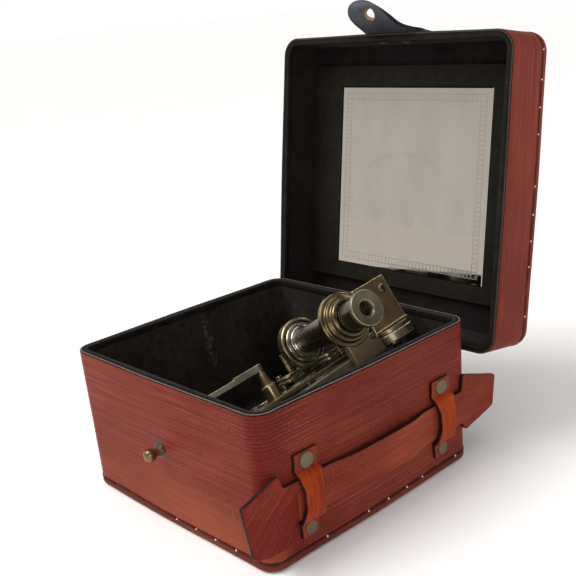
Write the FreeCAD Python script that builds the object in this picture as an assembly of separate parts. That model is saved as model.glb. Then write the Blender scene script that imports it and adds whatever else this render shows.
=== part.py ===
import FreeCAD, Part
import math, os
from FreeCAD import Vector as V

os.makedirs("parts", exist_ok=True)

# ---------------------------------------------------------------------------
# Leather instrument case with a telescoping hinged lid and its sextant.
# Millimetres. Origin: middle of the base, on the surface the case stands on.
# +Z up, the closing stud faces -Y, the carrying strap is on the +X wall and
# the lid hinges along the top of the +Y wall. The lid is open at rest.
# ---------------------------------------------------------------------------

# ---- driving dimensions ---------------------------------------------------
BOX_W = 152.0            # width over the leather at the rim, along X
BOX_D = 154.0            # depth over the leather at the rim, along Y
BOX_H = 82.0             # height of the rim
TAPER = 1.5              # the walls flare by this much per side, base to rim
R_TOP = 9.5              # corner radius at the rim
R_BASE = 8.5             # corner radius at the base
T_COVER = 1.35           # outer leather
T_BOARD = 2.2            # stiff board of the walls
T_LINING = 0.8           # black lining
T_FLOOR = 3.0            # bottom board
SEAM_Z = 5.0             # height of the stitched seam round the base

LID_W = 172.0            # lid, over the leather
LID_D = 174.0
LID_H = 33.0             # from the lid's rim to its top
LID_R = 11.0
LID_T_BOARD = 1.95
LID_T_LINING = 0.7
LID_OPEN = 98.8          # degrees the lid stands open at rest
HINGE_Y = 85.0           # hinge line of the lid
HINGE_Z = 58.2
PANEL_DEPTH = 24.9       # mirror board face, behind the lid's rim
MIRROR_W = 115.0         # mirror, along X
MIRROR_L = 113.5         # mirror, along the lid's length
MIRROR_X = 0.8
MIRROR_S = 88.3          # mirror centre, from the hinge line
BOARD_X = 81.0           # half width of the mirror board
BOARD_S0 = 21.8          # mirror board, lower and upper edge from the hinge
BOARD_S1 = 157.5

KEEP_W = 15.5            # leather keepers that hold the carrying strap
KEEP_T = 1.7
KEEP_WAIST = 1.5         # each side narrows by this much over the strap
KEEP_FOOT = (2.0, 1.3)   # each side of the front and rear keeper narrows by this much at its foot
KEEP_Y = (-50.7, 49.5)
KEEP_TOP, KEEP_BOT = 56.4, 11.4
RIVET_TOP_Z, RIVET_BOT_Z = 51.7, 15.9
RIVET_R_TOP, RIVET_R_BOT = 4.2, 3.6
STRAP_P0, STRAP_P1, STRAP_P2 = 0.45, 1.05, 2.75   # lining and leather, from the wall

BOW_Y0, BOW_Y1 = -38.0, 37.0            # the strap bows out as a handle between these
BOW_RUN, BOW_EDGE, BOW_MID = 17.0, 2.3, 0.6

STUD_X, STUD_Z = -2.0, 43.0
BALL_R = 2.9
BALL_P = 8.0             # ball centre, out from the wall

TAB_X = -1.5             # closing strap
TAB_W = 30.0
TAB_LEN = 28.0
TAB_T = 1.7
TAB_LIN_T = 0.7
TAB_A0, TAB_A1 = 12.0, 85.0     # direction of the curled strap, root and tip
TAB_HOLE_R = 4.0

# sextant: its own axes. u across the instrument towards the eyepiece,
# v towards its pivot end, w up from the frame. It leans in the open case.
S_O = V(61.87, -0.41, 79.37)
S_U = V(0.84965, 0.11687, 0.51423)      # direction of u
S_V = V(-0.15735, 0.98690, 0.03569)     # direction of v
PIV = (-17.0, 57.0)      # pivot of the index arm
ARC_R = 100.0            # outer radius of the limb
ARC_A0, ARC_A1 = -1.7, 70.0  # limb, degrees from -v towards -u
EDGE_U = -14.0           # straight outer edge of the frame's right leg
FR_T = 4.6               # frame thickness
ARM_A = 17.5             # index arm at rest
LEG = 21.5               # height of the feet
TEL_W = 19.2             # telescope axis above the frame
TEL_A = 14.0             # telescope turned in the frame's plane
TEL_C = (-11.7, 25.0)    # middle of the collar
HM = (-80.0, 50.0)       # horizon mirror


# ---- helpers ----------------------------------------------------------------
def save(name, shape):
    if shape.ShapeType == "Shell":
        shape = Part.Solid(shape)
    shape.exportStep("parts/%s.step" % name)


def rr_wire(w, d, r, z, cx=0.0, cy=0.0):
    hw, hd = w / 2.0, d / 2.0
    k = r * math.cos(math.radians(45))
    e = []
    c = [(cx + hw - r, cy - hd + r, -90), (cx + hw - r, cy + hd - r, 0),
         (cx - hw + r, cy + hd - r, 90), (cx - hw + r, cy - hd + r, 180)]
    pts = []
    for x, y, a in c:
        p0 = V(x + r * math.cos(math.radians(a)), y + r * math.sin(math.radians(a)), z)
        pm = V(x + r * math.cos(math.radians(a + 45)), y + r * math.sin(math.radians(a + 45)), z)
        p1 = V(x + r * math.cos(math.radians(a + 90)), y + r * math.sin(math.radians(a + 90)), z)
        pts.append((p0, pm, p1))
    for i in range(4):
        p0, pm, p1 = pts[i]
        e.append(Part.Arc(p0, pm, p1).toShape())
        e.append(Part.LineSegment(p1, pts[(i + 1) % 4][0]).toShape())
    return Part.Wire(e)


def rr_block(w, d, r, z0, z1, cx=0.0, cy=0.0):
    return Part.Face(rr_wire(w, d, r, z0, cx, cy)).extrude(V(0, 0, z1 - z0))


def case_block(inset, z0, z1):
    """Flared block: the case's outline moved in by inset, from z0 to z1."""
    ws = []
    for z in (z0, z1):
        t = TAPER * (1.0 - z / BOX_H)
        r = R_BASE + (R_TOP - R_BASE) * z / BOX_H - inset
        ws.append(rr_wire(BOX_W - 2 * t - 2 * inset, BOX_D - 2 * t - 2 * inset, r, z))
    return Part.makeLoft(ws, True, True)


def poly_prism(pts, axis, length, start):
    """Extrude a closed polygon. axis 'x': points are (y, z). axis 'z': (x, y)."""
    if axis == "x":
        q = [V(start, a, b) for a, b in pts]
        d = V(length, 0, 0)
    elif axis == "y":
        q = [V(a, start, b) for a, b in pts]
        d = V(0, length, 0)
    else:
        q = [V(a, b, start) for a, b in pts]
        d = V(0, 0, length)
    return Part.Face(Part.makePolygon(q + [q[0]])).extrude(d)


def cyl(r, h, base, direction):
    return Part.makeCylinder(r, h, V(*base), V(*direction))


def turned(profile, base, direction):
    """Solid of revolution: profile is (radius, height) along direction."""
    pts = [V(r, 0, h) for r, h in profile]
    f = Part.Face(Part.makePolygon(pts + [pts[0]]))
    s = f.revolve(V(0, 0, 0), V(0, 0, 1), 360)
    rot = FreeCAD.Rotation(V(0, 0, 1), V(*direction))
    s.Placement = FreeCAD.Placement(V(*base), rot)
    return s


def fuse(*s):
    r = s[0]
    for x in s[1:]:
        r = r.fuse(x)
    return r.removeSplitter()


def box(x0, y0, z0, x1, y1, z1):
    return Part.makeBox(x1 - x0, y1 - y0, z1 - z0, V(x0, y0, z0))


# right wall frame: p out from the leather, y, z up along the wall
WALL_A = math.degrees(math.atan2(TAPER, BOX_H))


def on_right_wall(s):
    s = s.copy()
    s.rotate(V(0, 0, 0), V(0, 1, 0), WALL_A)
    s.translate(V(BOX_W / 2.0 - TAPER, 0, 0))
    return s


def on_front_wall(s):
    s = s.copy()
    s.rotate(V(0, 0, 0), V(1, 0, 0), WALL_A)
    s.translate(V(0, -(BOX_D / 2.0 - TAPER), 0))
    return s


# lid parts are drawn closed, then opened about the hinge line
def opened(s):
    s = s.copy()
    s.rotate(V(0, HINGE_Y, HINGE_Z), V(1, 0, 0), -LID_OPEN)
    return s


LID_CY = HINGE_Y - LID_D / 2.0


def lid_block(inset, d0, d1):
    return rr_block(LID_W - 2 * inset, LID_D - 2 * inset, LID_R - inset,
                    HINGE_Z + d0, HINGE_Z + d1, 0, LID_CY)


# sextant parts are drawn in (u, v, w) and then leaned into place
_u = V(S_U).normalize()
_v = (S_V - _u * S_V.dot(_u)).normalize()
_w = _u.cross(_v)
S_PL = FreeCAD.Placement(FreeCAD.Matrix(_u.x, _v.x, _w.x, S_O.x,
                                        _u.y, _v.y, _w.y, S_O.y,
                                        _u.z, _v.z, _w.z, S_O.z,
                                        0, 0, 0, 1))


def leaned(s):
    s = s.copy()
    s.Placement = S_PL.multiply(s.Placement)
    return s


def arc_pt(r, a):
    a = math.radians(a)
    return (PIV[0] - r * math.sin(a), PIV[1] - r * math.cos(a))


def sector(r0, r1, a0, a1, w0, w1):
    """Ring sector about the pivot, angles from -v towards -u."""
    def P(r, a):
        x, y = arc_pt(r, a)
        return V(x, y, w0)
    am = (a0 + a1) / 2.0
    e = [Part.Arc(P(r1, a0), P(r1, am), P(r1, a1)).toShape(),
         Part.LineSegment(P(r1, a1), P(r0, a1)).toShape(),
         Part.Arc(P(r0, a1), P(r0, am), P(r0, a0)).toShape(),
         Part.LineSegment(P(r0, a0), P(r1, a0)).toShape()]
    return Part.Face(Part.Wire(e)).extrude(V(0, 0, w1 - w0))


def bar(p, q, width, w0, w1):
    """Flat bar from p to q in the frame's plane, with round ends."""
    dx, dy = q[0] - p[0], q[1] - p[1]
    n = math.hypot(dx, dy)
    nx, ny = -dy / n * width / 2, dx / n * width / 2
    pts = [(p[0] + nx, p[1] + ny), (p[0] - nx, p[1] - ny),
           (q[0] - nx, q[1] - ny), (q[0] + nx, q[1] + ny)]
    s = poly_prism(pts, "z", w1 - w0, w0)
    s = s.fuse(cyl(width / 2, w1 - w0, (p[0], p[1], w0), (0, 0, 1)))
    return s.fuse(cyl(width / 2, w1 - w0, (q[0], q[1], w0), (0, 0, 1))).removeSplitter()


# ---------------------------------------------------------------------------
# Case
# ---------------------------------------------------------------------------
i1 = T_COVER
i2 = i1 + T_BOARD
i3 = i2 + T_LINING
Z_RIM = BOX_H - 0.7           # board, leather and lining end here, under the binding

# leather base: a shallow tray, its lip meets the wall leather at the seam
base_out = case_block(0, 0.0, SEAM_Z - 0.35)
base = base_out.cut(case_block(i1 - 0.02, 1.6, SEAM_Z + 2))
low = [e for e in base.Edges if abs(e.BoundBox.ZMin) < 1e-6 and abs(e.BoundBox.ZMax) < 1e-6]
base = base.makeFillet(1.4, low)
save("base_panel", base)

carcass = case_block(i1, 1.6, Z_RIM).cut(case_block(i2, 1.6 + T_FLOOR, Z_RIM + 5))
cover = case_block(0, SEAM_Z + 0.35, Z_RIM).cut(case_block(i1, SEAM_Z - 1, Z_RIM + 1))
lining = case_block(i2, 1.6 + T_FLOOR, Z_RIM).cut(case_block(i3, 1.6 + T_FLOOR + 0.8, Z_RIM + 5))
FLOOR_Z = 1.6 + T_FLOOR + 0.8

# black binding over the edge of the rim and down its inner side
bind = case_block(-0.12, Z_RIM - 3.2, BOX_H).cut(case_block(i3 + 0.45, Z_RIM - 5, BOX_H + 1))
bind = bind.cut(case_block(-2.0, Z_RIM - 6, Z_RIM).cut(case_block(i3, Z_RIM - 7, Z_RIM + 1)))
save("rim_binding", bind)

# thread of the base seam
seam = case_block(-0.35, SEAM_Z - 0.3, SEAM_Z + 0.3).cut(case_block(0.9, SEAM_Z - 1, SEAM_Z + 1))
save("base_seam_thread", seam)


# ---- closing stud on the front wall ---------------------------------------
def stud_axis(p):
    return (STUD_X, -p, STUD_Z)


stud = turned([(0, 0.02), (5.7, 0.02), (5.7, 0.55), (5.2, 0.85), (3.0, 1.1), (2.5, 1.6), (2.2, 2.6),
               (2.1, 5.0), (2.5, 5.4), (3.1, 6.1), (3.35, 7.0), (3.4, BALL_P), (3.25, 9.0),
               (2.6, 10.0), (1.5, 10.7), (0, 10.95)], stud_axis(0), (0, -1, 0))
hole = cyl(0.9, 12, stud_axis(4.0), (0, 1, 0))
stud = stud.cut(cyl(0.9, 4.0, stud_axis(3.98), (0, 1, 0)))
save("closing_stud", on_front_wall(stud))
screw = turned([(0, 0), (2.6, 0), (3.0, 0.5), (3.0, 0.9), (0.85, 1.0), (0.85, 8.0), (0, 8.2)],
               (STUD_X, i3 + 1.25, STUD_Z), (0, -1, 0))
save("stud_screw", on_front_wall(screw))
front_hole = on_front_wall(cyl(0.9, 14, (STUD_X, 8, STUD_Z), (0, -1, 0)))


# ---- carrying strap, keepers and rivets on the right wall --------------------
def keeper(yc, foot):
    b0, b1 = 3.15, 3.15 + KEEP_T
    inner = [(KEEP_BOT, 0.05), (20.4, 0.05), (21.6, 1.9), (22.3, b0), (26.5, b0 + 1.4), (30.5, b0 + 2.1), (34.5, b0 + 2.2),
             (39.0, b0 + 1.7), (44.6, b0), (45.7, 1.9), (46.6, 0.05), (KEEP_TOP, 0.05)]
    outer = [(KEEP_TOP, 0.05 + KEEP_T), (47.3, 0.05 + KEEP_T), (46.6, 3.0), (45.4, b1 + 0.1),
             (39.4, b1 + 1.8), (34.6, b1 + 2.3), (30.3, b1 + 2.2), (26.2, b1 + 1.5), (21.8, b1 + 0.1), (20.4, 3.0),
             (19.65, 0.05 + KEEP_T), (KEEP_BOT, 0.05 + KEEP_T)]
    pts = [(p, z) for z, p in inner + outer]
    k = poly_prism(pts, "y", KEEP_W, yc - KEEP_W / 2)
    h = KEEP_W / 2
    for sg in (-1, 1):
        side = [(yc + sg * (h + 2), 20.8), (yc + sg * (h + 0.01), 20.8), (yc + sg * (h - 0.9), 25.0), (yc + sg * (h - KEEP_WAIST), 30.0),
                (yc + sg * (h - KEEP_WAIST), 38.0), (yc + sg * (h - 0.9), 43.0), (yc + sg * (h + 0.01), 46.8), (yc + sg * (h + 2), 46.8)]
        k = k.cut(poly_prism(side, "x", 20.0, -2.0))
        low = [(yc + sg * (h + 2), KEEP_BOT - 1), (yc + sg * (h - foot), KEEP_BOT - 1), (yc + sg * (h - foot), 18.0), (yc + sg * (h - 0.8 * foot), 20.0),
               (yc + sg * (h + 0.01), 23.5), (yc + sg * (h + 2), 23.5)]
        k = k.cut(poly_prism(low, "x", 20.0, -2.0))
    return k


rivets, burrs = [], []
k_hole = []
for yc in KEEP_Y:
    for z, r in ((RIVET_TOP_Z, RIVET_R_TOP), (RIVET_BOT_Z, RIVET_R_BOT)):
        p0 = 0.05 + KEEP_T
        cap = turned([(0, p0 + 0.02), (r, p0 + 0.02), (r, p0 + 0.4), (r * 0.86, p0 + 0.85),
                      (r * 0.5, p0 + 1.15), (0, p0 + 1.25)], (0, yc, z), (1, 0, 0))
        shank = cyl(1.1, p0 + i3 + 1.2, (-i3 - 1.1, yc, z), (1, 0, 0))
        rivets.append(on_right_wall(cap.fuse(shank)))
        burr = turned([(1.1, 0), (3.6, 0), (3.6, 0.5), (2.6, 0.9), (1.1, 0.9)],
                      (-i3 - 0.05, yc, z), (-1, 0, 0))
        burrs.append(on_right_wall(burr))
        k_hole.append(on_right_wall(cyl(1.1, 16, (-10, yc, z), (1, 0, 0))))

for name, yc, foot in (("front_keeper", KEEP_Y[0], KEEP_FOOT[0]), ("rear_keeper", KEEP_Y[1], KEEP_FOOT[1])):
    k = on_right_wall(keeper(yc, foot))
    for h in k_hole:
        k = k.cut(h)
    save(name, k)
save("keeper_rivets", Part.makeCompound(rivets))
save("keeper_burrs", Part.makeCompound(burrs))

for h in k_hole + [front_hole]:
    carcass = carcass.cut(h)
    cover = cover.cut(h)
    lining = lining.cut(h)
save("case_board", carcass)
save("case_leather", cover)
save("case_lining", lining)

# strap with blunt arrow-shaped ends that cannot pull out of the keepers
STRAP = [(-62.6, 23.0), (-63.9, 12.6), (-77.8, 13.8), (-88.2, 17.3), (-93.0, 45.6),
         (-69.8, 51.4), (-66.8, 43.9), (66.4, 43.1), (68.1, 52.4), (96.4, 43.2), (93.8, 25.1),
         (69.8, 18.8), (66.4, 24.2)]


def strap_bow(y):
    """How far the strap stands out from the wall between its keepers."""
    if y <= BOW_Y0 or y >= BOW_Y1:
        return 0.0
    d = min(1.0, min(y - BOW_Y0, BOW_Y1 - y) / BOW_RUN)
    return BOW_EDGE * d * d * (3 - 2 * d) + BOW_MID * math.sin(math.pi * (y - BOW_Y0) / (BOW_Y1 - BOW_Y0)) ** 2


def strap_layer(p0, p1, grow=0.0):
    ys = [-100.0, BOW_Y0] + [BOW_Y0 + (BOW_Y1 - BOW_Y0) * i / 30.0 for i in range(1, 30)] + [BOW_Y1, 100.0]
    pts = [(p0 + strap_bow(y), y) for y in ys] + [(p1 + strap_bow(y), y) for y in ys[::-1]]
    band = poly_prism(pts, "z", 60.0, 5.0)
    q = [V(-1.0, y, z) for y, z in STRAP]
    f = Part.Face(Part.makePolygon(q + [q[0]]))
    return on_right_wall(band.common(f.extrude(V(20.0, 0, 0))))


save("carrying_strap", strap_layer(STRAP_P1, STRAP_P2))
save("carrying_strap_lining", strap_layer(STRAP_P0, STRAP_P1))

# ---------------------------------------------------------------------------
# Leather hinge between the back wall of the case and the lid
# ---------------------------------------------------------------------------
HX = 58.0
_o = math.radians(LID_OPEN)


def lid_pt(s, d):
    """A point of the open lid: s along it from the hinge, d behind its rim."""
    return (HINGE_Y - s * math.cos(_o) + d * math.sin(_o), HINGE_Z + s * math.sin(_o) + d * math.cos(_o))


def back_y(z):
    return BOX_D / 2.0 - TAPER * (1.0 - z / BOX_H)


HT = 1.5
lower = [(back_y(30) + 0.05, 30.0), (back_y(48) + 0.05, 48.0), (81.9, 54.6), (83.2, 53.6),
         (back_y(47) + HT, 46.4), (back_y(30) + HT, 30.0)]
save("hinge_leather_case", poly_prism(lower, "x", 2 * HX, -HX))
upper = [lid_pt(-0.55, 0.9), lid_pt(-0.55, 24.0), lid_pt(-0.55 - HT, 24.0), lid_pt(-0.55 - HT, 0.9)]
save("hinge_leather_lid", poly_prism(upper, "x", 2 * HX, -HX))

# ---------------------------------------------------------------------------
# Lid (drawn closed)
# ---------------------------------------------------------------------------
j1 = T_COVER
j2 = j1 + LID_T_BOARD
j3 = j2 + LID_T_LINING
D_RIM = 0.7
CEIL = LID_H - T_COVER - LID_T_BOARD - LID_T_LINING      # lining under the top
lid_top = lid_block(0, LID_H - 5.0 + 0.35, LID_H).cut(lid_block(j1 - 0.02, 0, LID_H - 1.4))
hi = [e for e in lid_top.Edges if abs(e.BoundBox.ZMin - (HINGE_Z + LID_H)) < 1e-6
      and abs(e.BoundBox.ZMax - (HINGE_Z + LID_H)) < 1e-6]
lid_top = lid_top.makeFillet(1.2, hi)
lid_board = lid_block(j1, D_RIM, LID_H - 1.4).cut(lid_block(j2, -1, LID_H - 1.4 - LID_T_BOARD))
lid_cover = lid_block(0, D_RIM, LID_H - 5.0 - 0.35).cut(lid_block(j1, 0, LID_H))
lid_lin = lid_block(j2, D_RIM, LID_H - 1.4 - LID_T_BOARD).cut(lid_block(j3, 0, LID_H - 1.4 - LID_T_BOARD - LID_T_LINING))
CEIL = LID_H - 1.4 - LID_T_BOARD - LID_T_LINING
lid_bind = lid_block(-0.12, 0, D_RIM + 3.2).cut(lid_block(j3 + 0.45, -1, D_RIM + 5))
lid_bind = lid_bind.cut(lid_block(-2.0, D_RIM, D_RIM + 6).cut(lid_block(j3, D_RIM - 1, D_RIM + 7)))
lid_seam = lid_block(-0.35, LID_H - 5.3, LID_H - 4.7).cut(lid_block(0.9, LID_H - 6, LID_H - 4))
save("lid_top_panel", opened(lid_top))
save("lid_seam_thread", opened(lid_seam))
save("lid_rim_binding", opened(lid_bind))
save("lid_lining", opened(lid_lin))

# mirror board with its window, mirror and backing card; y = HINGE_Y - s
bz0, bz1 = HINGE_Z + PANEL_DEPTH, HINGE_Z + CEIL - 0.05
ww, wl = MIRROR_W / 2.0, MIRROR_L / 2.0
board = box(-BOARD_X, HINGE_Y - BOARD_S1, bz0, BOARD_X, HINGE_Y - BOARD_S0, bz1)
vert = [e for e in board.Edges if abs(e.BoundBox.XLength) < 1e-6 and abs(e.BoundBox.YLength) < 1e-6]
board = board.makeFillet(4.0, vert)
board = board.cut(box(MIRROR_X - ww - 0.15, HINGE_Y - MIRROR_S - wl - 0.15, bz0 - 1,
                      MIRROR_X + ww + 0.15, HINGE_Y - MIRROR_S + wl + 0.15, bz1 + 1))
save("mirror_board", opened(board))
mz0, mz1 = bz0 + 0.35, bz0 + 2.0
save("lid_mirror", opened(box(MIRROR_X - ww, HINGE_Y - MIRROR_S - wl, mz0, MIRROR_X + ww, HINGE_Y - MIRROR_S + wl, mz1)))
save("mirror_backing", opened(box(MIRROR_X - ww, HINGE_Y - MIRROR_S - wl, mz1 + 0.02, MIRROR_X + ww, HINGE_Y - MIRROR_S + wl, bz1)))

# closing strap: its root is riveted to the front wall of the lid, its free
# end curls away from the case and drops over the stud when the lid is shut
LF = -(LID_D / 2.0) + LID_CY          # outer face of the lid's front wall
ROOT_D = 24.0
TG = 0.5                              # the root passes over the rim binding
root = box(TAB_X - TAB_W / 2, LF - TG - TAB_LIN_T - TAB_T, HINGE_Z + 0.6, TAB_X + TAB_W / 2, LF - TG - TAB_LIN_T, HINGE_Z + ROOT_D)
root_lin = box(TAB_X - TAB_W / 2, LF - TG - TAB_LIN_T, HINGE_Z + 0.6, TAB_X + TAB_W / 2, LF - TG, HINGE_Z + ROOT_D)
tab_riv, riv_cut = [], []
for dx in (-9.0, 9.0):
    for dd in (10.0,):
        b = (TAB_X + dx, LF - TG - TAB_LIN_T - TAB_T, HINGE_Z + dd)
        c = turned([(0, 0.02), (3.4, 0.02), (3.4, 0.35), (2.8, 0.8), (1.5, 1.1), (0, 1.15)], b, (0, -1, 0))
        sh = cyl(1.0, TG + TAB_LIN_T + TAB_T + j3 + 0.9, b, (0, 1, 0))
        bu = turned([(1.0, 0), (3.0, 0), (3.0, 0.4), (2.2, 0.8), (1.0, 0.8)],
                    (TAB_X + dx, LF + j3 + 0.05, HINGE_Z + dd), (0, 1, 0))
        tab_riv.append(fuse(c, sh, bu))
        riv_cut.append(cyl(1.0, 14, (TAB_X + dx, LF - 4, HINGE_Z + dd), (0, 1, 0)))
for h in riv_cut:
    root = root.cut(h)
    root_lin = root_lin.cut(h)
    lid_board = lid_board.cut(h)
    lid_cover = lid_cover.cut(h)
    lid_lin = lid_lin.cut(h)
save("lid_board", opened(lid_board))
save("lid_leather", opened(lid_cover))
save("lid_lining", opened(lid_lin))
save("closing_strap_root", opened(root))
save("closing_strap_root_lining", opened(root_lin))
save("closing_strap_rivets", opened(Part.makeCompound(tab_riv)))

# free end: f runs down past the rim, h away from the case (closed position)
RAD = TAB_LEN / math.radians(TAB_A1 - TAB_A0)


def tab_line(off, n=14, s1=TAB_LEN, s0=0.0):
    out = []
    for i in range(n + 1):
        s = s0 + (s1 - s0) * i / n
        a = math.radians(TAB_A0) + s / RAD
        a0 = math.radians(TAB_A0)
        f = RAD * (math.sin(a) - math.sin(a0)) - off * math.sin(a)
        h = RAD * (math.cos(a0) - math.cos(a)) + off * math.cos(a)
        out.append((f + 0.5, h))
    return out


def tab_solid(o0, o1):
    a, b = tab_line(o0), tab_line(o1)
    prof = a + b[::-1]
    pts = [(LF - TG - h, HINGE_Z - f) for f, h in prof]
    s = poly_prism(pts, "x", TAB_W, TAB_X - TAB_W / 2)
    # rounded tip: keep what lies under a tongue outline swept away from the case
    R = TAB_W / 2
    an = math.radians((TAB_A0 + TAB_A1) / 2 + 14)
    # the tongue's end is trimmed by a cylinder standing across the curled end
    se = TAB_LEN - R
    (f0, h0), (f1, h1) = tab_line(0, 1, se)[1], tab_line(0, 1, TAB_LEN)[1]
    mid = tab_line(0, 1, (se + TAB_LEN) / 2)[1]
    aa = math.radians(TAB_A0) + ((se + TAB_LEN) / 2) / RAD
    # normal of the strap near its end (away from the case)
    nf, nh = -math.sin(aa), math.cos(aa)
    tf, th = math.cos(aa), math.sin(aa)
    cf, ch = mid[0] - tf * R * 0.5, mid[1] - th * R * 0.5
    base = V(TAB_X, LF - TG - (ch - nh * 30), HINGE_Z - (cf - nf * 30))
    drn = V(0, -nh, -nf)
    keep = Part.makeCylinder(R * 1.0, 60, base, drn)
    # everything on the root side of the cylinder axis is kept too
    kb = Part.makeBox(TAB_W + 2, 60, 60, V(-TAB_W / 2 - 1, -60, -30))
    kb.rotate(V(0, 0, 0), V(1, 0, 0), -math.degrees(math.atan2(th, tf)) + 90)
    kb.translate(V(TAB_X, LF - TG - ch, HINGE_Z - cf))
    return s, keep, kb, (cf, ch, tf, th)


def make_tab(o0, o1):
    s, keep, kb, c = tab_solid(o0, o1)
    cf, ch, tf, th = c
    # half space towards the root, as a big box built from its own frame
    ex, et, en = V(1, 0, 0), V(0, -th, -tf), V(0, -tf, th)
    o = V(TAB_X, LF - TG - ch, HINGE_Z - cf)
    m = FreeCAD.Placement(FreeCAD.Matrix(ex.x, et.x, en.x, o.x, ex.y, et.y, en.y, o.y, ex.z, et.z, en.z, o.z, 0, 0, 0, 1))
    half = Part.makeBox(TAB_W + 4, 80, 120, V(-TAB_W / 2 - 2, -80, -60))
    half.Placement = m
    s = s.common(half.fuse(keep))
    # button hole, square to the strap
    sh = 15.9
    hp0 = tab_line(0, 1, sh)[1]
    ah = math.radians(TAB_A0) + sh / RAD
    nf, nh = -math.sin(ah), math.cos(ah)
    b = V(TAB_X - 0.5, LF - TG - (hp0[1] - nh * 10), HINGE_Z - (hp0[0] - nf * 10))
    s = s.cut(Part.makeCylinder(TAB_HOLE_R, 20, b, V(0, -nh, -nf)))
    return s


save("closing_strap", opened(make_tab(TAB_LIN_T, TAB_LIN_T + TAB_T)))
save("closing_strap_lining", opened(make_tab(0.0, TAB_LIN_T)))

# ---------------------------------------------------------------------------
# Sextant, in its own axes
# ---------------------------------------------------------------------------
# frame: apex disc, two side bars, limb and cross members
pv = (PIV[0], PIV[1])
apex = cyl(14.3, FR_T, (pv[0], pv[1], -FR_T), (0, 0, 1))
limb = sector(ARC_R - 13.0, ARC_R, ARC_A0, ARC_A1, -FR_T, 0)
right_leg = box(EDGE_U - 8.0, PIV[1] - ARC_R + 3.0, -FR_T, EDGE_U, PIV[1], 0)
left_leg = bar(pv, arc_pt(ARC_R - 6.5, ARC_A1 - 3.5), 8.0, -FR_T, 0)
mid_arc = sector(50.0, 56.0, ARC_A0 + 4, ARC_A1 - 3, -FR_T, 0)
tie0 = bar(arc_pt(8, 35.0), arc_pt(ARC_R - 6.5, 37.0), 5.0, -FR_T, 0)
tie1 = bar(arc_pt(53, 27), arc_pt(ARC_R - 6.5, 20), 5.0, -FR_T, 0)
tie2 = bar(arc_pt(53, 47), arc_pt(ARC_R - 6.5, 54), 5.0, -FR_T, 0)
e_t = V(math.cos(math.radians(TEL_A)), -math.sin(math.radians(TEL_A)), 0)    # towards the eye
n_t = V(math.sin(math.radians(TEL_A)), math.cos(math.radians(TEL_A)), 0)


def tel(a, b=0.0):
    """Point in the frame's plane: a along the telescope from the collar, b across."""
    return (TEL_C[0] + a * e_t.x + b * n_t.x, TEL_C[1] + a * e_t.y + b * n_t.y)


SH1, SH2 = arc_pt(30.0, 70.0), arc_pt(68.0, 61.5)      # shade posts
lug_h = bar(HM, arc_pt(64, ARC_A1 - 3.5), 9.0, -FR_T, 0)
lug_s = bar(SH2, arc_pt(72, ARC_A1 - 4.0), 7.0, -FR_T, 0)
frame = fuse(apex, limb, right_leg, left_leg, mid_arc, tie0, tie1, tie2, lug_h, lug_s)
frame = frame.cut(cyl(2.97, 20, (pv[0], pv[1], -10), (0, 0, 1)))
LEGS = [(-19.5, -36.0), arc_pt(90.0, 61.5), (-22.0, 65.5)]
for x, y in LEGS:
    frame = frame.cut(cyl(1.5, 20, (x, y, -10), (0, 0, 1)))
save("sextant_frame", leaned(frame))

scale = sector(ARC_R - 10.5, ARC_R - 7.0, ARC_A0 + 12.0, ARC_A1 - 12.0, 0.01, 0.15)
save("arc_scale", leaned(scale))

legs = []
for x, y in LEGS:
    legs.append(turned([(0, 0), (3.4, 0), (3.9, 0.8), (3.9, 2.2), (2.3, 3.6), (2.3, 9.0), (3.2, 11.0), (3.2, 13.0),
                        (2.4, 15.5), (2.8, LEG - 3.0), (4.2, LEG - 1.8), (4.2, LEG - 0.02), (1.45, LEG - 0.02),
                        (1.45, LEG + FR_T - 0.3), (0, LEG + FR_T - 0.3)],
                       (x, y, -FR_T - LEG), (0, 0, 1)))
save("sextant_feet", leaned(Part.makeCompound(legs)))

# grip under the frame on two brackets
HG0, HG1 = (-43.0, 42.0), (-62.0, -8.0)
gdx, gdy = HG1[0] - HG0[0], HG1[1] - HG0[1]
gl = math.hypot(gdx, gdy)
gux, guy = gdx / gl, gdy / gl
grip = turned([(0, 0), (4.6, 0), (5.6, 3), (6.6, gl * 0.3), (7.0, gl * 0.5), (6.6, gl * 0.7), (5.6, gl - 3), (4.6, gl), (0, gl)],
              (HG0[0], HG0[1], -18.0), (gux, guy, 0))
save("sextant_grip", leaned(grip))
gb = []
for sgn, (x, y) in ((-1, HG0), (1, HG1)):
    fx, fy = x + sgn * gux * 1.3, y + sgn * guy * 1.3
    plate = Part.makeBox(2.2, 9.0, 24.0, V(-1.1, -4.5, 0))
    plate.rotate(V(0, 0, 0), V(0, 0, 1), math.degrees(math.atan2(guy, gux)))
    plate.translate(V(fx, fy, -FR_T - 22.0))
    plate = plate.common(Part.makeBox(60, 60, 22.0 - 0.02, V(fx - 30, fy - 30, -FR_T - 22.0)))
    gb.append(plate)
save("grip_brackets", leaned(Part.makeCompound(gb)))

# telescope: bracket with ring, stepped body, objective ring, lens
def tel_turned(profile, a0):
    x, y = tel(a0)
    return turned(profile, (x, y, TEL_W), (e_t.x, e_t.y, 0))


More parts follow.
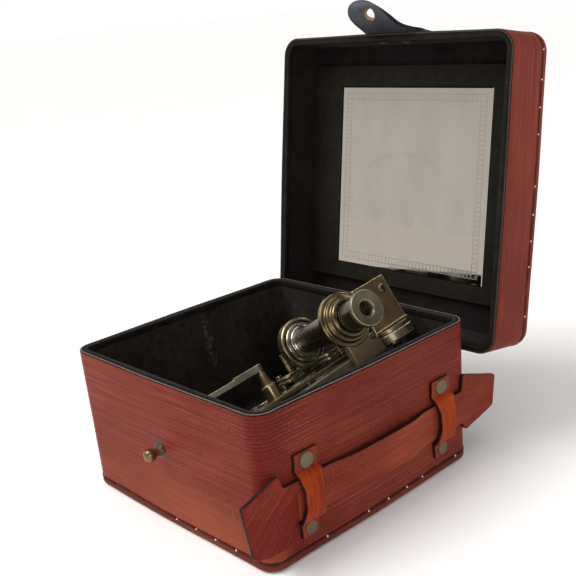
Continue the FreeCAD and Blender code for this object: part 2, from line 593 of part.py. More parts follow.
foot = poly_prism([(16.5, -FR_T - 1.0), (42.8, -FR_T - 1.0), (41.6, 1.9), (36.5, 1.9), (35.4, 3.2), (34.5, 8.0), (16.3, 8.0)],
                  "x", 2.4, EDGE_U + 0.05)
web = Part.makeBox(2.2, 17.0, 8.0, V(-4.6, -7.0, 0.3))
web.rotate(V(0, 0, 0), V(0, 0, 1), -TEL_A)
web.translate(V(TEL_C[0], TEL_C[1], 0))
ring = tel_turned([(8.6, 0), (13.0, 0), (13.0, 2.2), (8.6, 2.2)], -4.6)
br = fuse(foot, web, ring)
x, y = tel(-8)
br = br.cut(Part.makeCylinder(8.6, 20, V(x, y, TEL_W), e_t))
x, y = tel(-2.15)
br = br.cut(Part.makeCylinder(15.25, 20, V(x, y, TEL_W), e_t))
save("telescope_bracket", leaned(br))

T0 = -51.0               # far end of the telescope, from the collar
outer = [(13.9, T0), (14.3, T0 + 0.4), (14.3, T0 + 5.1), (13.8, T0 + 5.6), (12.9, T0 + 5.6), (12.6, T0 + 5.2), (12.6, T0 + 2.2),
         (11.4, T0 + 2.2), (11.4, T0 + 5.5), (11.0, T0 + 6.0), (10.3, T0 + 6.0), (10.0, T0 + 5.7), (10.0, T0 + 5.0), (9.3, T0 + 5.0),
         (9.3, T0 + 7.5), (8.9, T0 + 7.9), (8.2, T0 + 7.9), (8.0, T0 + 7.5), (7.3, T0 + 7.5), (8.0, -13.0), (8.2, -8.0),
         (8.45, -6.6), (8.45, -2.1), (14.9, -2.1), (15.2, -1.8), (15.2, 0.6), (14.7, 1.0), (13.2, 1.1), (12.9, 1.4), (12.9, 3.2),
         (12.4, 3.6), (11.3, 3.7), (11.0, 4.0), (11.0, 6.2), (10.5, 6.7), (9.3, 6.8)]
inner = [(8.27, 6.3), (8.27, 1.4), (6.2, 1.4), (6.2, -17.5), (5.0, -18.2), (5.0, T0 + 3.4), (10.6, T0 + 3.4), (10.6, T0)]
tube = tel_turned([(r, a - T0) for r, a in outer + inner], T0)
save("telescope_tube", leaned(tube))
lens = tel_turned([(0, 0), (10.5, 0.5), (10.5, 2.2), (0, 2.8)], T0 + 0.4)
save("objective_lens", leaned(lens))

# draw tube with the eyepiece (slides to focus)
draw = tel_turned([(3.6, 0), (6.12, 0), (6.12, 17.8), (8.2, 17.8), (8.2, 28.4), (8.7, 29.4), (9.6, 30.2), (9.9, 30.7), (9.9, 32.6), (9.4, 33.2),
                   (8.9, 33.2), (4.6, 32.5), (4.1, 32.0), (3.6, 31.0)], -10.2)
save("eyepiece_tube", leaned(draw))
elens = tel_turned([(0, 0), (3.55, 0.2), (3.55, 1.6), (0, 2.0)], 14.0)
save("eye_lens", leaned(elens))

# index arm
a_u, a_v = -math.sin(math.radians(ARM_A)), -math.cos(math.radians(ARM_A))
A1, A2 = 0.45, 2.4
arm = fuse(cyl(13.2, A2 - A1, (pv[0], pv[1], A1), (0, 0, 1)),
           bar(pv, arc_pt(84.0, ARM_A), 7.0, A1, A2), bar(arc_pt(70.0, ARM_A), arc_pt(84.0, ARM_A), 10.0, A1, A2))
arm = arm.fuse(sector(84.0, 103.5, ARM_A - 8.0, ARM_A + 8.0, A1, A2)).removeSplitter()
arm = arm.cut(sector(88.0, 94.0, ARM_A - 5.5, ARM_A + 5.5, -1, 5))
arm = arm.cut(cyl(2.95, 8, (pv[0], pv[1], -2), (0, 0, 1)))
save("index_arm", leaned(arm))
ver = sector(88.05, 91.0, ARM_A - 5.45, ARM_A + 5.45, A1 + 0.3, A2 - 0.3)
save("vernier_plate", leaned(ver))
cl = fuse(sector(100.6, 103.5, ARM_A - 5.0, ARM_A + 5.0, -FR_T - 2.6, A1 - 0.02),
          sector(92.0, 103.5, ARM_A - 5.0, ARM_A + 5.0, -FR_T - 2.6, -FR_T - 0.6))
# tangent screw in two lugs of the clamp
tx, ty = arc_pt(107.0, ARM_A)
tdx, tdy = -a_v, a_u                      # along the limb, towards the right leg
for q in (3.5, -6.0):
    lug = Part.makeBox(1.6, 8.4, 5.4, V(-0.8, -4.0, -2.7))
    lug.rotate(V(0, 0, 0), V(0, 0, 1), math.degrees(math.atan2(tdy, tdx)))
    lug.translate(V(tx + tdx * q, ty + tdy * q, -2.6))
    lug = lug.cut(sector(0.5, 102.5, ARM_A - 12.0, ARM_A + 12.0, -8, 4))
    cl = cl.fuse(lug)
cl = cl.cut(Part.makeCylinder(1.36, 30, V(tx - tdx * 15, ty - tdy * 15, -2.6), V(tdx, tdy, 0))).removeSplitter()
save("arm_clamp", leaned(cl))
ts = turned([(0, 0), (3.1, 0), (3.1, 3.4), (1.3, 4.0), (1.3, 19.0), (0, 19.4)],
            (tx + tdx * 9.5, ty + tdy * 9.5, -2.6), (-tdx, -tdy, 0))
save("tangent_screw", leaned(ts))
pin = turned([(0, 0), (5.0, 0), (5.0, 1.6), (2.9, 1.7), (2.9, FR_T + A2 + 1.5), (0, FR_T + A2 + 1.5)], (pv[0], pv[1], -FR_T - 2.0), (0, 0, 1))
save("pivot_pin", leaned(pin))

# index mirror over the pivot: brass back plate on a two-layer foot, glass and screw
MX0, MX1 = PIV[0] + 4.0, PIV[0] + 5.6          # back plate
MY0, MY1 = 41.6, 71.8
plate = box(MX0, MY0, A2 + 1.45, MX1, MY1, 30.2)
foot2 = box(PIV[0] - 6.5, MY0 + 1.0, A2 + 1.45, MX0 + 0.1, MY1 - 1.0, A2 + 2.9)
plate = fuse(plate, foot2)
plate = plate.cut(cyl(1.25, 10, (MX0 - 4, MY1 - 6.6, 23.4), (1, 0, 0)))
save("index_mirror_plate", leaned(plate))
base2 = box(PIV[0] - 7.5, MY0 - 1.2, A2 + 0.04, MX1 + 0.6, MY1 + 0.8, A2 + 1.4)
base2 = base2.cut(cyl(3.0, 20, (pv[0], pv[1], -5), (0, 0, 1)))
save("mirror_foot_plate", leaned(base2))
save("index_mirror", leaned(box(MX0 - 2.6, MY0 + 1.4, A2 + 3.2, MX0 - 0.05, MY1 - 1.4, 28.6).cut(
    cyl(2.0, 10, (MX0 - 5, MY1 - 6.6, 23.4), (1, 0, 0)))))
sc = turned([(0, 0), (1.2, 0), (1.2, 1.75), (2.5, 1.8), (2.5, 2.5), (1.7, 3.0), (0, 3.0)], (MX0 - 0.1, MY1 - 6.6, 23.4), (1, 0, 0))
save("mirror_plate_screw", leaned(sc))

# horizon mirror
hmk = fuse(Part.makeBox(1.6, 20.0, 18.6, V(-0.8, -10.0, 0.05)), Part.makeBox(6.0, 12.0, 1.9, V(-6.6, -6.0, 0.05)))
hg = Part.makeBox(2.0, 18.0, 16.0, V(0.85, -9.0, 2.0))
for q in (hmk, hg):
    q.rotate(V(0, 0, 0), V(0, 0, 1), -24.0)
    q.translate(V(HM[0], HM[1], 0))
save("horizon_mirror_plate", leaned(hmk))
save("horizon_mirror", leaned(hg))


# shades: dark glasses in round rims, turning on small posts
def shade_post(c, h):
    return turned([(0, 0.05), (2.5, 0.05), (2.5, 3.3), (1.2, 3.5), (1.2, h), (1.9, h + 0.1), (1.9, h + 1.2), (0, h + 1.4)], (c[0], c[1], 0), (0, 0, 1))


def shade(c, ang, w0, n=2, r=6.4, reach=10.5):
    rims, glasses = [], []
    a = math.radians(ang)
    ca, sa = math.cos(a), math.sin(a)
    cx, cy = c[0] + ca * reach, c[1] + sa * reach
    for i in range(n):
        z = w0 + i * 2.4
        rim = cyl(r, 1.3, (cx, cy, z), (0, 0, 1)).cut(cyl(r - 1.4, 3, (cx, cy, z - 1), (0, 0, 1)))
        eye = cyl(2.4, 1.3, (c[0], c[1], z), (0, 0, 1))
        k = reach - r + 0.8
        link = poly_prism([(c[0] - sa * 1.3, c[1] + ca * 1.3), (c[0] + sa * 1.3, c[1] - ca * 1.3),
                           (c[0] + sa * 1.3 + ca * k, c[1] - ca * 1.3 + sa * k),
                           (c[0] - sa * 1.3 + ca * k, c[1] + ca * 1.3 + sa * k)], "z", 1.3, z)
        q = rim.fuse(eye).fuse(link).cut(cyl(1.27, 6, (c[0], c[1], z - 2), (0, 0, 1)))
        rims.append(q.removeSplitter())
        glasses.append(cyl(r - 1.45, 0.7, (cx, cy, z + 0.3), (0, 0, 1)))
    return rims, glasses


save("shade_posts", leaned(Part.makeCompound([shade_post(SH1, 8.0), shade_post(SH2, 8.0)])))
s1, g1 = shade(SH1, 262.0, 3.8)
s2, g2 = shade(SH2, -20.0, 3.8)
save("index_shade_rims", leaned(Part.makeCompound(s1)))
save("index_shade_glasses", leaned(Part.makeCompound(g1)))
save("horizon_shade_rims", leaned(Part.makeCompound(s2)))
save("horizon_shade_glasses", leaned(Part.makeCompound(g2)))

# magnifier: turned post on the index arm, swinging arm and lens
MP = (arc_pt(79.0, ARM_A)[0] - 1.2, arc_pt(79.0, ARM_A)[1])
post = turned([(0, A2 + 0.05), (4.3, A2 + 0.05), (4.3, 9.8), (3.7, 10.3), (3.4, 10.4), (2.7, 13.6), (2.2, 17.2), (1.5, 17.8), (1.5, 21.3), (0, 21.3)],
              (MP[0], MP[1], 0), (0, 0, 1))
save("magnifier_post", leaned(post))
MA = math.radians(-120.0)
mc, ms = math.cos(MA), math.sin(MA)
ME = (MP[0] + 34.5 * mc, MP[1] + 34.5 * ms)
marm = bar(MP, ME, 4.6, 18.6, 22.2)
k0 = 14.0
marm = marm.cut(poly_prism([(MP[0] + k0 * mc - 9 * ms, MP[1] + k0 * ms + 9 * mc), (MP[0] + k0 * mc + 9 * ms, MP[1] + k0 * ms - 9 * mc),
                            (MP[0] + 60 * mc + 9 * ms, MP[1] + 60 * ms - 9 * mc), (MP[0] + 60 * mc - 9 * ms, MP[1] + 60 * ms + 9 * mc)],
                           "z", 5.0, 21.4))
marm = marm.cut(cyl(1.57, 12, (MP[0], MP[1], 12), (0, 0, 1)))
save("magnifier_arm", leaned(marm.removeSplitter()))
lring = cyl(5.6, 5.2, (ME[0], ME[1], 13.38), (0, 0, 1)).cut(cyl(4.5, 4.2, (ME[0], ME[1], 13.0), (0, 0, 1)))
save("magnifier_rim", leaned(lring))
save("magnifier_lens", leaned(turned([(0, 0), (4.45, 0.4), (4.45, 1.2), (0, 1.8)], (ME[0], ME[1], 14.0), (0, 0, 1))))
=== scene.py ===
import math
import bpy
import bmesh
import numpy as np
from mathutils import Vector, Matrix, noise


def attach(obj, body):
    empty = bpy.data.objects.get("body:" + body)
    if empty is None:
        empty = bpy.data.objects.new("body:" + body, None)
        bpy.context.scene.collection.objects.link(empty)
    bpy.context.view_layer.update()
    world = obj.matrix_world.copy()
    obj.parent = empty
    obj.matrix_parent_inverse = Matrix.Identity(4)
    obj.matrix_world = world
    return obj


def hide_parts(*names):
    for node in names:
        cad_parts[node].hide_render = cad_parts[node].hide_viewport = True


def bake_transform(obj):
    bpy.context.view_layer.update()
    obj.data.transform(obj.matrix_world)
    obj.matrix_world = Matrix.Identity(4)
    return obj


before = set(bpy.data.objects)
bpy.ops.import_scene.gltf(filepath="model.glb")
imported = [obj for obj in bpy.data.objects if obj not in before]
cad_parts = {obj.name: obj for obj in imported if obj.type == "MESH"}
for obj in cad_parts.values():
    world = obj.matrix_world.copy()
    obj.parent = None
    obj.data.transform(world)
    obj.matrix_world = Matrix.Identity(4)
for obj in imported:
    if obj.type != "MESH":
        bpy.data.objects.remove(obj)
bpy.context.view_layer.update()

MM = 0.001

# the case, in millimetres, as the solids are
BOX_W, BOX_D, BOX_H, TAPER = 152.0, 154.0, 82.0, 1.5
R_TOP, R_BASE = 9.5, 8.5
BOW = 0.9
LID_W, LID_D, LID_H, LID_R = 172.0, 174.0, 33.0, 11.0
HY, HZ, OPEN = 85.0, 58.2, math.radians(98.8)
LID_CY = HY - LID_D / 2
KEEP_Y = (-50.7, 49.5)
WALL_A = math.atan2(TAPER, BOX_H)


# ------------------------------------------------------------------ materials
class Nodes:
    """A material's node tree, built line by line."""

    def __init__(self, name):
        self.mat = bpy.data.materials.new(name)
        self.mat.use_nodes = True
        self.t = self.mat.node_tree
        self.b = self.t.nodes["Principled BSDF"]
        self.uv = None

    def n(self, kind, **props):
        x = self.t.nodes.new("ShaderNode" + kind)
        for k, v in props.items():
            if k in x.inputs.keys() if isinstance(k, str) else False:
                x.inputs[k].default_value = v
            else:
                setattr(x, k, v)
        return x

    def put(self, node, key, v):
        s = node.inputs[key]
        if hasattr(v, "is_output") or hasattr(v, "links"):
            self.t.links.new(v, s)
        else:
            s.default_value = v

    def coords(self, kind="UV"):
        c = self.n("TexCoord")
        return c.outputs[kind]

    def mapping(self, vec, scale=(1, 1, 1), rot=(0, 0, 0), loc=(0, 0, 0)):
        m = self.n("Mapping")
        self.put(m, "Vector", vec)
        m.inputs["Scale"].default_value = scale
        m.inputs["Rotation"].default_value = rot
        m.inputs["Location"].default_value = loc
        return m.outputs["Vector"]

    def noise(self, vec, scale=5.0, detail=4.0, rough=0.55, distortion=0.0, out="Fac"):
        x = self.n("TexNoise")
        self.put(x, "Vector", vec)
        x.inputs["Scale"].default_value = scale
        x.inputs["Detail"].default_value = detail
        x.inputs["Roughness"].default_value = rough
        x.inputs["Distortion"].default_value = distortion
        return x.outputs[out]

    def voronoi(self, vec, scale=100.0, feature="F1", out="Distance", randomness=1.0):
        x = self.n("TexVoronoi")
        x.feature = feature
        self.put(x, "Vector", vec)
        x.inputs["Scale"].default_value = scale
        x.inputs["Randomness"].default_value = randomness
        return x.outputs[out]

    def wave(self, vec, scale, distortion=0.0, detail=2.0, dscale=1.0, direction="X", profile="SIN"):
        x = self.n("TexWave")
        x.wave_type = "BANDS"
        x.bands_direction = direction
        x.wave_profile = profile
        self.put(x, "Vector", vec)
        x.inputs["Scale"].default_value = scale
        x.inputs["Distortion"].default_value = distortion
        x.inputs["Detail"].default_value = detail
        x.inputs["Detail Scale"].default_value = dscale
        return x.outputs["Fac"]

    def ramp(self, fac, stops, interp="LINEAR"):
        r = self.n("ValToRGB")
        r.color_ramp.interpolation = interp
        e = r.color_ramp.elements
        while len(e) > 1:
            e.remove(e[-1])
        e[0].position = stops[0][0]
        e[0].color = col4(stops[0][1])
        for p, c in stops[1:]:
            q = e.new(p)
            q.color = col4(c)
        self.put(r, "Fac", fac)
        return r.outputs["Color"]

    def mix(self, fac, a, b, mode="MIX"):
        m = self.n("Mix")
        m.data_type = "RGBA"
        m.blend_type = mode
        m.clamp_factor = True
        self.put(m, 0, fac)
        for i, v in ((6, a), (7, b)):
            if isinstance(v, (tuple, list)):
                v = col4(v)
            self.put(m, i, v)
        return m.outputs[2]

    def math(self, op, a, b=0.0, c=None, clamp=False):
        m = self.n("Math")
        m.operation = op
        m.use_clamp = clamp
        self.put(m, 0, a)
        self.put(m, 1, b)
        if c is not None:
            self.put(m, 2, c)
        return m.outputs[0]

    def maprange(self, v, a, b, c=0.0, d=1.0, smooth=True):
        m = self.n("MapRange")
        m.interpolation_type = "SMOOTHSTEP" if smooth else "LINEAR"
        self.put(m, 0, v)
        for i, x in ((1, a), (2, b), (3, c), (4, d)):
            m.inputs[i].default_value = x
        return m.outputs[0]

    def sep(self, vec):
        s = self.n("SeparateXYZ")
        self.put(s, 0, vec)
        return s.outputs

    def comb(self, x, y, z=0.0):
        s = self.n("CombineXYZ")
        for i, v in enumerate((x, y, z)):
            self.put(s, i, v)
        return s.outputs[0]

    def bump(self, height, strength=0.4, distance=0.0003, normal=None):
        b = self.n("Bump")
        b.inputs["Strength"].default_value = strength
        b.inputs["Distance"].default_value = distance
        self.put(b, "Height", height)
        if normal is not None:
            self.put(b, "Normal", normal)
        return b.outputs["Normal"]

    def set(self, **k):
        names = {"color": "Base Color", "rough": "Roughness", "metal": "Metallic", "normal": "Normal",
                 "spec": "Specular IOR Level", "coat": "Coat Weight", "coat_rough": "Coat Roughness",
                 "sheen": "Sheen Weight", "sheen_rough": "Sheen Roughness", "trans": "Transmission Weight",
                 "ior": "IOR", "alpha": "Alpha"}
        for a, v in k.items():
            if a == "color" and isinstance(v, (tuple, list)):
                v = col4(v)
            self.put(self.b, names[a], v)
        return self.mat


def col4(c):
    if isinstance(c, (int, float)):
        return (c, c, c, 1.0)
    return (c[0], c[1], c[2], 1.0)


def srgb(r, g, b):
    def f(v):
        v /= 255.0
        return v / 12.92 if v <= 0.04045 else ((v + 0.055) / 1.055) ** 2.4
    return (f(r), f(g), f(b))


def leather(name, dark, mid, light, lines=1.0, streak=(7.0, 330.0), rough=0.42, rot=0.0, blot=0.5, weave=0.35,
            orange=None, corner=None, low=None, spec=0.07, ribs=None):
    """Waxed brown-red leather with fine parallel pin lines. UV is in metres, the lines run along u.
    corner: u of the case's near corner, where the linen grain shows and a band of painted shade darkens the turn; low:
    colour of the bottom of the front."""
    k = Nodes(name)
    uv = k.coords("UV")
    m = k.mapping(uv, rot=(0, 0, rot))
    mu, mv, _ = k.sep(m)
    big = k.noise(k.mapping(m, (14, 22, 1), loc=(5.0, 1.0, 0)), 1.0, 3.0, 0.5)
    s1 = k.noise(k.mapping(m, (streak[0], streak[1], 1)), 1.0, 4.0, 0.6)
    s2 = k.noise(k.mapping(m, (streak[0] * 2.4, streak[1] * 3.1, 1), loc=(3.1, 7.7, 0)), 1.0, 3.0, 0.6)
    s3 = k.noise(k.mapping(m, (streak[0] * 1.4, streak[1] * 1.7, 1), loc=(1.3, 2.9, 0)), 1.0, 2.0, 0.5)
    speck = k.noise(m, 1500.0, 2.0, 0.6)
    fac = k.math("ADD", k.math("MULTIPLY", s1, 0.42), k.math("MULTIPLY", s2, 0.30))
    fac = k.math("ADD", fac, k.math("MULTIPLY", big, 0.22 * (0.5 + blot)))
    fac = k.math("ADD", fac, k.math("MULTIPLY", speck, 0.16))
    base = k.ramp(fac, [(0.36, dark), (0.55, mid), (0.76, light)])
    if orange is not None:
        base = k.mix(k.maprange(big, 0.40, 0.66, 0.0, 0.85), base, orange)
    # thin darker and paler pin lines
    thin_d = k.maprange(s3, 0.34, 0.42, 1.0, 0.0)
    thin_l = k.maprange(s2, 0.64, 0.74, 0.0, 1.0)
    base = k.mix(k.math("MULTIPLY", thin_d, 0.42 * lines), base, dark)
    base = k.mix(k.math("MULTIPLY", thin_l, 0.35 * lines), base, light)
    # pebbled, linen-like grain
    cell = k.voronoi(k.mapping(m, (1.0, 1.25, 1)), 1350.0, "F1")
    peb = k.maprange(cell, 0.10, 0.55, 1.0, 0.0)
    wmask = k.maprange(k.noise(k.mapping(m, (18, 30, 1), loc=(9, 2, 0)), 1.0, 2.0), 0.38, 0.64, 0.25, 1.0)
    if corner is not None:
        near = k.maprange(k.math("ABSOLUTE", k.math("SUBTRACT", mu, corner)), 0.018, 0.080, 1.0, 0.15)
        near = k.math("MAXIMUM", near, k.maprange(mu, corner, corner + 0.02, 0.0, 0.60))
        wmask = k.math("MULTIPLY", wmask, near)
    wmask = k.math("MULTIPLY", wmask, weave)
    base = k.mix(k.math("MULTIPLY", k.math("SUBTRACT", 1.0, peb), k.math("MULTIPLY", wmask, 0.72)), base, dark)
    base = k.mix(k.math("MULTIPLY", k.maprange(peb, 0.72, 1.0), k.math("MULTIPLY", wmask, 0.48)), base, light)
    if corner is not None:
        # pale embossed lines round the near corner, under the rim
        c = k.math("ABSOLUTE", k.math("SUBTRACT", mu, corner + 0.004))
        cm = k.math("MULTIPLY", k.maprange(c, 0.006, 0.045, 1.0, 0.0), k.maprange(mv, 0.040, 0.068, 0.0, 1.0))
        cm = k.math("MULTIPLY", cm, k.maprange(k.noise(m, 420.0, 3.0), 0.40, 0.58, 0.15, 1.0))
        wl = k.math("ABSOLUTE", k.math("SUBTRACT", k.math("FRACT", k.math("MULTIPLY", k.math("ADD", mv, k.math("MULTIPLY", s1, 0.0007)), 500.0)), 0.5))
        pl = k.math("MULTIPLY", k.maprange(wl, 0.0, 0.17, 1.0, 0.0), k.maprange(s2, 0.40, 0.55, 0.25, 1.0))
        base = k.mix(k.math("MULTIPLY", k.math("MULTIPLY", pl, cm), 0.60), base, (light[0] * 1.15, light[1] * 1.7, light[2] * 1.8))
    if corner is not None:
        # painted shade: the leather is darkened and reddened where it turns the near corner, away from the light
        corner_shade = k.math("MULTIPLY", k.maprange(mu, corner - 0.014, corner - 0.001), k.maprange(mu, corner + 0.004, corner + 0.020, 1.0, 0.0))
        base = k.mix(k.math("MULTIPLY", corner_shade, 0.60), base, (0.105, 0.0075, 0.0045))
    if ribs is not None:
        # fine parallel ribs, broken up
        rr = k.math("ADD", mv, k.math("MULTIPLY", k.noise(m, 160.0, 2.0), 0.0007))
        rr = k.math("ABSOLUTE", k.math("SUBTRACT", k.math("FRACT", k.math("MULTIPLY", rr, ribs)), 0.5))
        br = k.maprange(k.noise(m, 900.0, 2.0), 0.38, 0.60, 0.35, 1.0)
        base = k.mix(k.math("MULTIPLY", k.maprange(rr, 0.26, 0.46), k.math("MULTIPLY", br, 0.70)), base, dark)
        base = k.mix(k.math("MULTIPLY", k.maprange(rr, 0.02, 0.16, 1.0, 0.0), k.math("MULTIPLY", br, 0.42)), base, light)
    if low is not None:
        lm = k.math("MULTIPLY", k.maprange(mv, 0.006, 0.040, 1.0, 0.0), k.maprange(mu, corner - 0.13, corner - 0.03, 0.45, 1.0))
        lm = k.math("MULTIPLY", lm, k.maprange(mu, corner, corner + 0.012, 1.0, 0.0))
        base = k.mix(k.math("MULTIPLY", lm, 0.42), base, low)
    h = k.math("ADD", k.math("MULTIPLY", s1, 0.5 * lines), k.math("MULTIPLY", s2, 0.9 * lines))
    h = k.math("ADD", h, k.math("MULTIPLY", peb, k.math("MULTIPLY_ADD", wmask, 0.9, 0.12)))
    h = k.math("ADD", h, k.math("MULTIPLY", speck, 0.35))
    rg = k.maprange(k.math("ADD", k.math("MULTIPLY", speck, 0.5), k.math("MULTIPLY", s1, 0.5)), 0.3, 0.7, rough - 0.07, rough + 0.14, False)
    return k.set(color=base, rough=rg, normal=k.bump(h, 0.42, 0.00022), spec=spec)


def dark_leather(name, a, b, rough=0.5, scale=1300.0, strength=0.5, coords="UV", sheen=0.0, spec=0.25):
    k = Nodes(name)
    v = k.coords(coords)
    g = k.voronoi(v, scale, "F1")
    n1 = k.noise(v, 60.0, 4.0, 0.6)
    n2 = k.noise(v, 700.0, 3.0, 0.6)
    c = k.ramp(k.math("ADD", k.math("MULTIPLY", n1, 0.6), k.math("MULTIPLY", n2, 0.4)), [(0.35, a), (0.65, b)])
    rg = k.maprange(n2, 0.3, 0.7, rough - 0.1, rough + 0.12, False)
    return k.set(color=c, rough=rg, normal=k.bump(k.math("ADD", g, k.math("MULTIPLY", n2, 0.6)), strength, 0.0002), spec=spec,
                 sheen=sheen)


def cloth(name, a, b, weave=2600.0, rough=0.85, coords="Object", tint=None, scratch=False):
    """Matt black lining with a fine nap, uneven and slightly dusty."""
    k = Nodes(name)
    v = k.coords(coords)
    n1 = k.noise(v, 38.0, 5.0, 0.65)
    n2 = k.noise(v, 240.0, 4.0, 0.6)
    n3 = k.noise(k.mapping(v, (1, 1, 0.25)), 1400.0, 2.0, 0.5)
    f = k.math("ADD", k.math("MULTIPLY", n1, 0.55), k.math("MULTIPLY", n2, 0.45))
    c = k.ramp(f, [(0.34, a), (0.66, b)])
    if tint is not None:
        c = k.mix(k.maprange(k.noise(v, 14.0, 2.0), 0.42, 0.62, 0.0, 0.7), c, tint)
    lint = k.maprange(k.voronoi(v, 420.0, "F1"), 0.0, 0.06, 1.0, 0.0)
    c = k.mix(k.math("MULTIPLY", lint, 0.06), c, (0.10, 0.09, 0.085))
    if scratch:
        # a pale scuff on the left wall of the lining
        x, y, z = k.sep(v)
        w = k.math("MULTIPLY", k.math("SUBTRACT", k.noise(v, 160.0, 3.0), 0.5), 0.012)
        d = k.math("ABSOLUTE", k.math("SUBTRACT", k.math("ADD", y, w), k.math("MULTIPLY_ADD", z, -0.10, 0.0180)))
        band = k.math("MULTIPLY", k.maprange(d, 0.0004, 0.0030, 1.0, 0.0), k.maprange(z, 0.036, 0.046, 0.0, 1.0))
        band = k.math("MULTIPLY", band, k.maprange(z, 0.070, 0.077, 1.0, 0.0))
        band = k.math("MULTIPLY", band, k.maprange(x, -0.060, -0.066, 0.0, 1.0))
        band = k.math("MULTIPLY", band, k.maprange(k.noise(v, 520.0, 4.0), 0.42, 0.62))
        c = k.mix(k.math("MULTIPLY", band, 0.7), c, (0.085, 0.078, 0.070))
    h = k.math("ADD", n3, k.math("MULTIPLY", n2, 0.8))
    return k.set(color=c, rough=rough, normal=k.bump(h, 0.35, 0.0003), spec=0.04, sheen=0.03, sheen_rough=0.5)


def brass(name, a, b, rough=0.32, patina=None, pat_amt=0.5, scale=70.0, spots=0.05, edge=None, edge_amt=0.8, edge_r=0.00045,
          bands=None, axis=None, metal=0.86):
    """Aged brass: soft patina clouds, faint spots, and pale edges, partly polish worn bright and partly a painted
    highlight.
    bands: stops of (mm along axis, dark, light, roughness) for a turned piece whose parts are toned differently."""
    k = Nodes(name)
    v = k.coords("Object")
    n1 = k.noise(v, scale, 4.0, 0.55)
    n2 = k.noise(v, scale * 6, 3.0, 0.6)
    n3 = k.noise(k.mapping(v, (1, 1, 1), loc=(0.3, 0.1, 0.7)), scale * 0.45, 3.0, 0.55)
    f = k.math("ADD", k.math("MULTIPLY", n1, 0.80), k.math("MULTIPLY", n2, 0.20))
    c = k.ramp(f, [(0.34, a), (0.66, b)])
    rbase = None
    if bands:
        o, d = axis
        x, y, z = k.sep(v)
        t = k.math("MULTIPLY_ADD", x, d[0], k.math("MULTIPLY_ADD", y, d[1], k.math("MULTIPLY", z, d[2])))
        t = k.math("SUBTRACT", t, sum(o[q] * d[q] for q in range(3)))
        for lo, hi, ca, cb, rr in bands:
            m = k.math("MULTIPLY", k.maprange(t, lo * MM - 0.00015, lo * MM + 0.00015), k.maprange(t, hi * MM - 0.00015, hi * MM + 0.00015, 1.0, 0.0))
            c = k.mix(m, c, k.ramp(f, [(0.34, ca), (0.66, cb)]))
            rbase = k.math("MULTIPLY", m, rr - rough) if rbase is None else k.math("ADD", rbase, k.math("MULTIPLY", m, rr - rough))
    if patina is not None:
        c = k.mix(k.math("MULTIPLY", k.maprange(n3, 0.38, 0.66), pat_amt), c, patina)
    sp = k.maprange(k.voronoi(v, 700.0, "F1"), 0.02, 0.12, 1.0, 0.0)
    c = k.mix(k.math("MULTIPLY", sp, spots), c, (a[0] * 0.35, a[1] * 0.32, a[2] * 0.3))
    if edge is not None:
        # painted highlight and wear: a bevel mask makes the edges pale and less metallic, so they read bright under
        # any light
        bv = k.n("Bevel")
        bv.samples = 6
        bv.inputs["Radius"].default_value = edge_r
        gm = k.n("NewGeometry")
        dt = k.n("VectorMath")
        dt.operation = "DOT_PRODUCT"
        k.t.links.new(bv.outputs["Normal"], dt.inputs[0])
        k.t.links.new(gm.outputs["Normal"], dt.inputs[1])
        edge_wear_and_highlight = k.maprange(dt.outputs["Value"], 0.84, 0.995, 1.0, 0.0)
        edge_wear_and_highlight = k.math("MULTIPLY", edge_wear_and_highlight, k.maprange(n2, 0.30, 0.55, 0.45, 1.0))
        c = k.mix(k.math("MULTIPLY", edge_wear_and_highlight, edge_amt), c, edge)
    rg = k.maprange(k.math("ADD", k.math("MULTIPLY", n1, 0.5), k.math("MULTIPLY", n2, 0.5)), 0.3, 0.7, rough - 0.05, rough + 0.08, False)
    if rbase is not None:
        rg = k.math("ADD", rg, rbase)
    h = k.math("ADD", n1, k.math("MULTIPLY", n2, 0.4))
    if edge is None:
        return k.set(color=c, rough=rg, metal=metal, normal=k.bump(h, 0.03, 0.0001))
    mt = k.math("MULTIPLY_ADD", k.math("MULTIPLY", edge_wear_and_highlight, edge_amt), -0.45, metal)
    return k.set(color=c, rough=rg, metal=mt, normal=k.bump(h, 0.03, 0.0001, normal=bv.outputs["Normal"]))


# the telescope's axis, for the tones along it
TEL_O = (0.03833, 0.02076, 0.09070)
TEL_D = (0.86248, -0.12535, 0.49032)


RED_D, RED_M, RED_L = (0.078, 0.008, 0.0045), (0.172, 0.0255, 0.0140), (0.310, 0.076, 0.048)
NEAR_U = 0.2905
M_WALL = leather("red_leather_wall", RED_D, RED_M, RED_L, corner=NEAR_U, low=(0.34, 0.085, 0.034), weave=1.0, streak=(10.0, 700.0), lines=1.2)
M_STRAP = leather("red_leather_strap", (0.105, 0.012, 0.0062), (0.205, 0.0310, 0.0155), (0.31, 0.066, 0.036), lines=0.22,
                  streak=(20.0, 330.0), weave=0.95, rough=0.46, blot=1.0)
M_KEEP = leather("orange_leather_keeper", (0.095, 0.005, 0.0015), (0.220, 0.0185, 0.0030), (0.37, 0.066, 0.012), lines=1.1,
                 streak=(40.0, 380.0), weave=0.35, rough=0.38, orange=(0.32, 0.040, 0.004), blot=0.9, spec=0.07)
M_BASE = leather("red_leather_base", (0.060, 0.010, 0.006), (0.125, 0.024, 0.015), (0.22, 0.056, 0.036), lines=0.15,
                 streak=(14.0, 200.0), weave=0.2, rough=0.52)
M_LIDSIDE = leather("red_leather_lid", RED_D, RED_M, RED_L, lines=0.8, weave=0.5, streak=(10.0, 700.0))
M_EDGEB = dark_leather("black_strap_edge", (0.004, 0.004, 0.004), (0.018, 0.016, 0.016), 0.55, spec=0.10)
M_RAW = dark_leather("raw_leather_in_hole", (0.170, 0.090, 0.040), (0.420, 0.260, 0.130), 0.72, 1500.0, 0.5)
M_EDGE = dark_leather("dark_cut_edge", (0.007, 0.0035, 0.003), (0.034, 0.013, 0.010), 0.55, spec=0.10)


